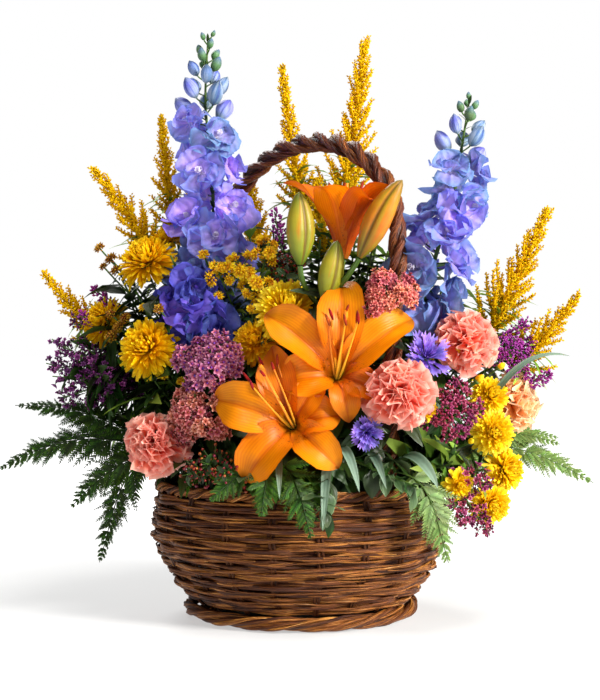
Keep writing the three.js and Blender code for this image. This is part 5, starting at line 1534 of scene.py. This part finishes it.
def add_leaflets(surface, rng, ribs, up, reach, way):
    """Pointed leaflets on one side of each rib, shorter towards its end."""
    s = np.linspace(0.08, 0.97, LEAFLETS)
    j = np.minimum((s * LEAFLETS).astype(int), LEAFLETS - 1)
    share = (s * LEAFLETS - j)[None, :, None]
    roots = ribs[:, j] * (1 - share) + ribs[:, j + 1] * share
    heading = unit(ribs[:, j + 1] - ribs[:, j])
    upward = np.broadcast_to(up[:, None], heading.shape)
    direction = unit(np.cross(heading, upward) * way + 1.3 * heading)
    length = reach[:, None] * 0.3 * (1 - s)[None] ** 0.9 + 1.2 * MM
    length = joined(length * (0.7 + 0.6 * rng.random(length.shape)))
    lines = grow_lines(joined(roots), joined(direction), joined(upward), length, -0.15, 3)
    half = 0.15 * length[:, None] * np.array([[0.8, 0.9, 0.03]])
    ribbons(surface, lines, joined(upward), half, 3, 0.15, tone=np.repeat(rng.random(len(ribs)), LEAFLETS))


def fronds(name, look, slot, hub, normal, spot, leaves):
    """Several fronds from one stem."""
    rng = draws(name)
    surface = Surface()
    ends = np.mean([mm(leaf[0]) for leaf in leaves], axis=0)
    main = stem_line(spot, mm(hub), unit(ends - mm(hub)), 12)
    rod(surface, main, 1.8, 6, 0.4, 1)
    for leaf in leaves:
        frond(surface, rng, hub, unit(normal), *leaf, slot == "fern_green")
    surface.piece(name + "_fronds", [look, STEM], slot, name)


def eucalyptus(name, hub, tip, spot, count, size):
    """A twig of broad leaves."""
    rng = draws(name)
    surface = Surface()
    rows = 20
    start, end = mm(hub), mm(tip)
    axis = unit(end - start)
    twig = bow(start, axis, end, axis, rows)
    line = whole_stem(spot, twig, 12, axis)
    rod(surface, line, np.linspace(2.0, 0.9, len(line)), 7, look=1)
    i = np.arange(count)
    k = ((i + 0.4) / count * (rows - 1)).astype(int)
    tangent = unit(twig[k + 1] - twig[k])
    tilt = 0.6 + 0.9 * rng.random(count)
    out = unit(lean(tangent, tilt, i * 2.4 + 1.5 * rng.random(count)) - 0.1 * UP)
    up = facing(UP, out)
    length = size * MM * (0.38 + 0.4 * rng.random(count))
    lines = grow_lines(twig[k], out, up, length, -0.8 + 0.5 * rng.normal(size=count), 10)
    half = (0.16 + 0.16 * rng.random((count, 1))) * length[:, None] * oval(10, 0.45, 0.8, 0.1)[None]
    kinds = ((0, i % 3 > 0), (2, i % 3 == 0))
    mixed_leaves(surface, rng, lines, up, half, kinds, 0.9, 7, 0.18, 0.16, 1.6)
    surface.piece(name + "_leaves", [SILVER, STEM, LEAF], "eucalyptus_green", name)


# Leaves that close the gaps: over the rim all round, and up through the middle of the dome

RIM_LEAVES = 260
TWIGS = 57
TWIGS_SPREAD = 74  # how far from the middle the outermost twig stands
DOME = [158, 100, 138]  # how far the dome of twigs reaches sideways, back and forth, and up


def collar():
    """Leaves over the rim all round, lower where the lilies hang in front."""
    rng = draws("collar")
    surface = Surface()
    count = RIM_LEAVES
    angle = TURN * (np.arange(count) + rng.random(count)) / count
    front = np.maximum(0, -np.sin(angle)) ** 4
    roots = ring_point(angle, 88 + 34 * rng.random(count), 148 + 6 * rng.random(count))
    out = level(angle)
    out = unit(out + np.cross(UP, out) * (0.6 * rng.normal(size=count))[:, None])
    direction = unit(out + UP * ((0.15 + 0.8 * rng.random(count)) * (1 - 0.85 * front))[:, None])
    up = facing(UP, direction)
    length = MM * (26 + 42 * rng.random(count)) * (1 - 0.2 * front)
    lines = grow_lines(roots, direction, up, length, -0.8 - 0.8 * rng.random(count), 7)
    half = (0.09 + 0.13 * rng.random(count))[:, None] * length[:, None] * oval(7, 0.45, 0.85)[None]
    kind = rng.random(count)
    kinds = enumerate((kind < 0.55, (kind >= 0.55) & (kind < 0.75), kind >= 0.75))
    mixed_leaves(surface, rng, lines, up, half, kinds, 0.8, 5, 0.25, 0.14)
    surface.piece("rim_leaves", [LEAF, LIGHT_FERN, SILVER], "green_stem")


def filling():
    """Leafy twigs that close the middle of the dome behind the blooms."""
    rng = draws("filling")
    surface = Surface()
    for i in range(TWIGS):
        share = (i + 0.5) / TWIGS
        tilt = 1.5 * share ** 0.55
        round_about = level(GOLDEN_ANGLE * i)
        out = math.sin(tilt) * round_about + math.cos(tilt) * UP
        end = FOAM_TOP * MM * UP + out * mm(DOME) * (0.75 + 0.3 * rng.random())
        line = stem_line((TWIGS_SPREAD * share ** 0.5 * round_about)[:2], end, unit(out + 0.5 * UP), 12)
        rod(surface, line, 1.1, 5, rng.random())
        add_leaves(surface, rng, line[2:], 11, 58 + 16 * rng.random(), 0.42, 1.0, 0.12 + 0.1 * rng.random())
    for place in TALL_TWIGS:
        end = mm(place)
        line = stem_line([0.5 * place[0], 0.5 * place[1]], end, unit(end), 12)
        rod(surface, line, 1.1, 5, rng.random())
        slim = 0.11 + 0.08 * rng.random()
        add_leaves(surface, rng, line[3:], 14, 60, 0.4, 1.0, slim, 1 + (rng.random() < 0.35))
    surface.piece("filling_twigs", [STEM, LEAF, LIME], "green_stem")


# Small stalked blooms between the large ones

def buttons(rng, name, looks, slot, radius, ends):
    """Small round heads on leafy stalks."""
    surface = Surface()
    for end in mm(ends):
        root = end * [0.7, 0.55, 0.8]
        axis = unit(end - root)
        stalk = bow(root, unit(axis + 0.4 * UP), end, axis, 8)
        rod(surface, stalk, 0.9, 5, rng.random(), 2)
        ball(surface, rng, end, unit(axis + [0, -0.5, 0]), radius * (0.8 + 0.4 * rng.random()) * MM)
        add_leaves(surface, rng, stalk, 8, 24, 0.1, 0.9, 0.14, 3)
    surface.piece(name, looks, slot)


def purple_spikes(rng):
    """Slim spikes of purple buds."""
    surface = Surface()
    count = 70
    for tip, length in PURPLE_SPIKES:
        end = mm(tip)
        root = end * [0.6, 0.6, 0.85]
        axis = unit(end - root + 0.02 * UP)
        stalk = bow(root, unit(axis + 0.3 * UP), end, axis, 12)
        rod(surface, stalk, 0.8, 5, rng.random(), 2)
        share = rng.random(count)
        direction = lean(axis, 0.9 + 0.3 * rng.normal(size=count), TURN * rng.random(count))
        places = end - (length * MM * share)[:, None] * axis
        away = MM * (1 + 5 * np.sin(math.pi * (0.1 + 0.8 * share)) * rng.random(count))
        places = places + away[:, None] * direction
        beads(surface, places, direction, 4.4 * MM, 2.8 * MM, 3, 4, rng.random(count), 1)
    surface.piece("purple_spikes", STAR_LOOKS["stonecrop_magenta"], "stonecrop_magenta")


def small_yellow_blooms(rng):
    """Daisies, and round yellow buds on stalks."""
    surface, green = Surface(), Surface()
    for daisy in DAISIES:
        mum_head(surface, rng, *daisy, 0.07, 90)
    for bud in YELLOW_BUDS:
        end, axis, size = flower_head(*bud)
        beads(surface, end[None], axis[None], size, 0.62 * size, 9, 10, 0.6, blunt=0.6)
        beads(green, end[None] - 0.1 * size * axis, axis[None], 0.5 * size, 0.66 * size, 7, 10, blunt=0.6)
        rod(green, bow(end * [0.8, 0.6, 0.8], UP, end, axis, 8), 1.1, 5, 0.6)
    surface.piece("small_yellow_blooms", [BRIGHT], "chrysanthemum_yellow")
    green.piece("small_bloom_stalks", [STEM], "green_stem")


def sprigs():
    rng = draws("sprigs")
    buttons(rng, "yellow_buttons", ASTER, "aster_yellow", 4.6, YELLOW_BUTTONS)
    buttons(rng, "brown_buttons", BROWN, "button_ochre", 5.2, BROWN_BUTTONS)
    purple_spikes(rng)
    small_yellow_blooms(rng)


def long_leaves():
    """A few long grey-green leaves, most of which hang over the rim in front."""
    rng = draws("long_leaves")
    surface = Surface()
    roots, tips, widths = (np.array(values, float) for values in zip(*LONG_LEAVES))
    roots, ends = mm(roots), mm(tips) - [0, 6 * MM, 0]
    way = unit(ends - roots)
    lines = bow(roots, unit(way + [0, -0.4, 0.9]), ends, unit(way - 0.8 * UP), 14)
    half = MM * widths[:, None] / 2 * oval(14, 0.45, 0.75, 0.2)[None]
    chance = by_chance(rng, len(lines), 1.2)
    chance["tone"] = 0.6 + 0.4 * chance["tone"]
    ribbons(surface, lines, np.broadcast_to([0.0, -0.6, 0.8], ends.shape), half, 5, 0.3, 0.1, 1.5, **chance)
    surface.piece("long_leaves", [PALE], "eucalyptus_green")


# CAD nodes that keep their own shape

def kept_node(name, look):
    """Gives a CAD node its look, and leaves its shape as it is."""
    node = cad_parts[name]
    node.data.materials.clear()
    node.data.materials.append(look)


def plain_look(name, low, high, scale, rough):
    """A plain surface, mottled between two colours."""
    look = Look(name)
    patches = look.noise(scale, 4)
    look.bump(patches, 0.5, 0.002)
    return look.finish(look.ramp(patches, [(0.3, low), (0.7, high)]), rough)


# The studio

def paper_look():
    """Pale paper whose own light grows away from the object, so that the floor stays pale on every side."""
    look = Look("studio_paper")
    distance = look.node("VectorMath", operation="LENGTH")
    look.put(distance.inputs[0], look.node("TexCoord").outputs["Object"])
    look.shader.inputs["Emission Color"].default_value = (1, 1, 1, 1)
    light = look.between(distance.outputs["Value"], 0.3, 1.2, 0.5, 1.02)
    look.put(look.shader.inputs["Emission Strength"], light)
    return look.finish(look.ramp(look.noise(3, 4), [(0.3, "acacab"), (0.7, "b0b0af")]), 0.9)


# Lamps: place, the height they aim at and size in metres, power and colour
LAMPS = {
    "key": ((1.74, -1.22, 1.0), 0.26, 0.6, 90, (1.0, 0.98, 0.95)),
    "top": ((0.25, -0.8, 2.0), 0.3, 0.8, 24, (1.0, 0.99, 0.97)),
    "fill": ((-1.5, -1.5, 0.7), 0.25, 1.4, 2, (0.95, 0.97, 1.0)),
    "back": ((-0.6, 1.3, 1.5), 0.3, 0.9, 26, (1.0, 1.0, 1.0)),
}
FLOOR_REACH = 20.0
FLOOR_DROP = 0.0003


def floor():
    """A level floor of pale paper, a hair below the basket."""
    surface = Surface()
    reach = np.linspace(-FLOOR_REACH, FLOOR_REACH, 5)
    grid = np.stack([*np.meshgrid(reach, reach), np.full((5, 5), -FLOOR_DROP)], axis=-1)
    surface.add(grid[None], 0.5, 0.5, 0.5)
    points, quads = np.concatenate(surface.points), np.concatenate(surface.quads)
    mesh = bpy.data.meshes.new("studio_floor")
    mesh.from_pydata(points.tolist(), [], quads[:, ::-1].tolist())
    for face in mesh.polygons:
        face.use_smooth = True
    mesh.materials.append(paper_look())
    place_in_scene("studio_floor", mesh)


def camera():
    """The camera of the photograph."""
    made = place_in_scene("camera", bpy.data.cameras.new("camera"))
    made.location = mm([0, -CAMERA["distance"], CAMERA["height"]])
    made.rotation_euler = (math.radians(90 - CAMERA["pitch"]), 0, 0)
    made.data.lens = CAMERA["lens"]
    made.data.sensor_width = CAMERA["sensor"]
    bpy.context.scene.camera = made


def lamp(name, place, aim, size, power, tint):
    """A round lamp, aimed at a height on the basket's axis."""
    light = bpy.data.lights.new(name, "AREA")
    light.shape = "DISK"
    light.size = size
    light.energy = power
    light.color = tint
    made = place_in_scene(name, light)
    made.location = place
    made.rotation_mode = "QUATERNION"
    away = unit(np.array(place) - aim * UP)
    made.rotation_quaternion = Vector(away).to_track_quat("Z", "Y")


def surroundings():
    """A world that looks white to the camera and sheds little light."""
    world = bpy.data.worlds.new("studio")
    world.use_nodes = True
    nodes, links = world.node_tree.nodes, world.node_tree.links
    dim, bright = nodes["Background"], nodes.new("ShaderNodeBackground")
    both = nodes.new("ShaderNodeMixShader")
    for sky, strength in ((dim, 0.1), (bright, 1.0)):
        sky.inputs["Color"].default_value = (1, 1, 1, 1)
        sky.inputs["Strength"].default_value = strength
    links.new(nodes.new("ShaderNodeLightPath").outputs["Is Camera Ray"], both.inputs[0])
    links.new(dim.outputs[0], both.inputs[1])
    links.new(bright.outputs[0], both.inputs[2])
    links.new(both.outputs[0], nodes["World Output"].inputs[0])
    bpy.context.scene.world = world
    bpy.context.scene.view_settings.view_transform = "Standard"


def studio():
    floor()
    camera()
    for name, one in LAMPS.items():
        lamp(name, *one)
    surroundings()


# Which look and slot each plant of a kind has

# The centre head takes the brighter look as painted light, to lift it out of the shade of the lily above it.
CHRYSANTHEMUM_LOOKS = {
    "button_flower": (OCHRE, "button_ochre"), "chrysanthemum_spray": (BRIGHT, "chrysanthemum_yellow"),
    "chrysanthemum_centre": (BRIGHT, "chrysanthemum_yellow")}
LOOSE_HEADS = ("stonecrop_burgundy", "stonecrop_magenta")
SPRAY_KINDS = {
    "statice_left": ("statice_purple", "star"), "statice_back": ("statice_purple", "star"),
    "stonecrop_low": ("stonecrop_burgundy", "star"), "aster_yellow": ("aster_yellow", "ball"),
    "berries_top": ("berry_red", "berry"), "berries_rim": ("berry_red", "berry"),
}
FROND_LOOKS = {
    "fern_front": (LIGHT_FERN, "fern_green"), "fern_right": (CEDAR, "fern_green"),
    "cedar_front": (CEDAR, "cedar_green")}


def arrangement():
    """Every plant, and the leaves and small blooms between them."""
    for name, one in LILIES.items():
        lily(name, **one)
    for name, one in BUDS.items():
        lily_bud(name, **one)
    lily_stem()
    for name, one in DELPHINIUMS.items():
        delphinium(name, **one)
    for name, one in CARNATIONS.items():
        peach = name == "carnation_peach"
        carnation(name, PEACH if peach else SALMON, name if peach else "carnation_salmon", *one)
    for name, one in CHRYSANTHEMUMS.items():
        look, slot = CHRYSANTHEMUM_LOOKS.get(name, (GOLD, "chrysanthemum_yellow"))
        chrysanthemum(name, look, slot, **one)
    for name, one in CORNFLOWERS.items():
        cornflower(name, *one)
    for name, one in STONECROPS.items():
        stonecrop(name, name.replace("_pink", "_rose"), *one, name in LOOSE_HEADS)
    for name, one in SPRAYS.items():
        spray(name, *SPRAY_KINDS[name], *one)
    for name, one in GOLDENRODS.items():
        goldenrod(name, *one)
    for name, one in FRONDS.items():
        look, slot = FROND_LOOKS.get(name, (FERN, "fern_green"))
        fronds(name, look, slot, *one)
    for name, one in EUCALYPTUS.items():
        eucalyptus(name, *one)
    collar()
    filling()
    sprigs()
    long_leaves()


basket()
arrangement()
kept_node("liner", plain_look("liner_film", "141a12", "232b1e", 60, 0.5))
kept_node("floral_foam", plain_look("foam", "1a2e14", "2c4a1e", 220, 0.9))
studio()
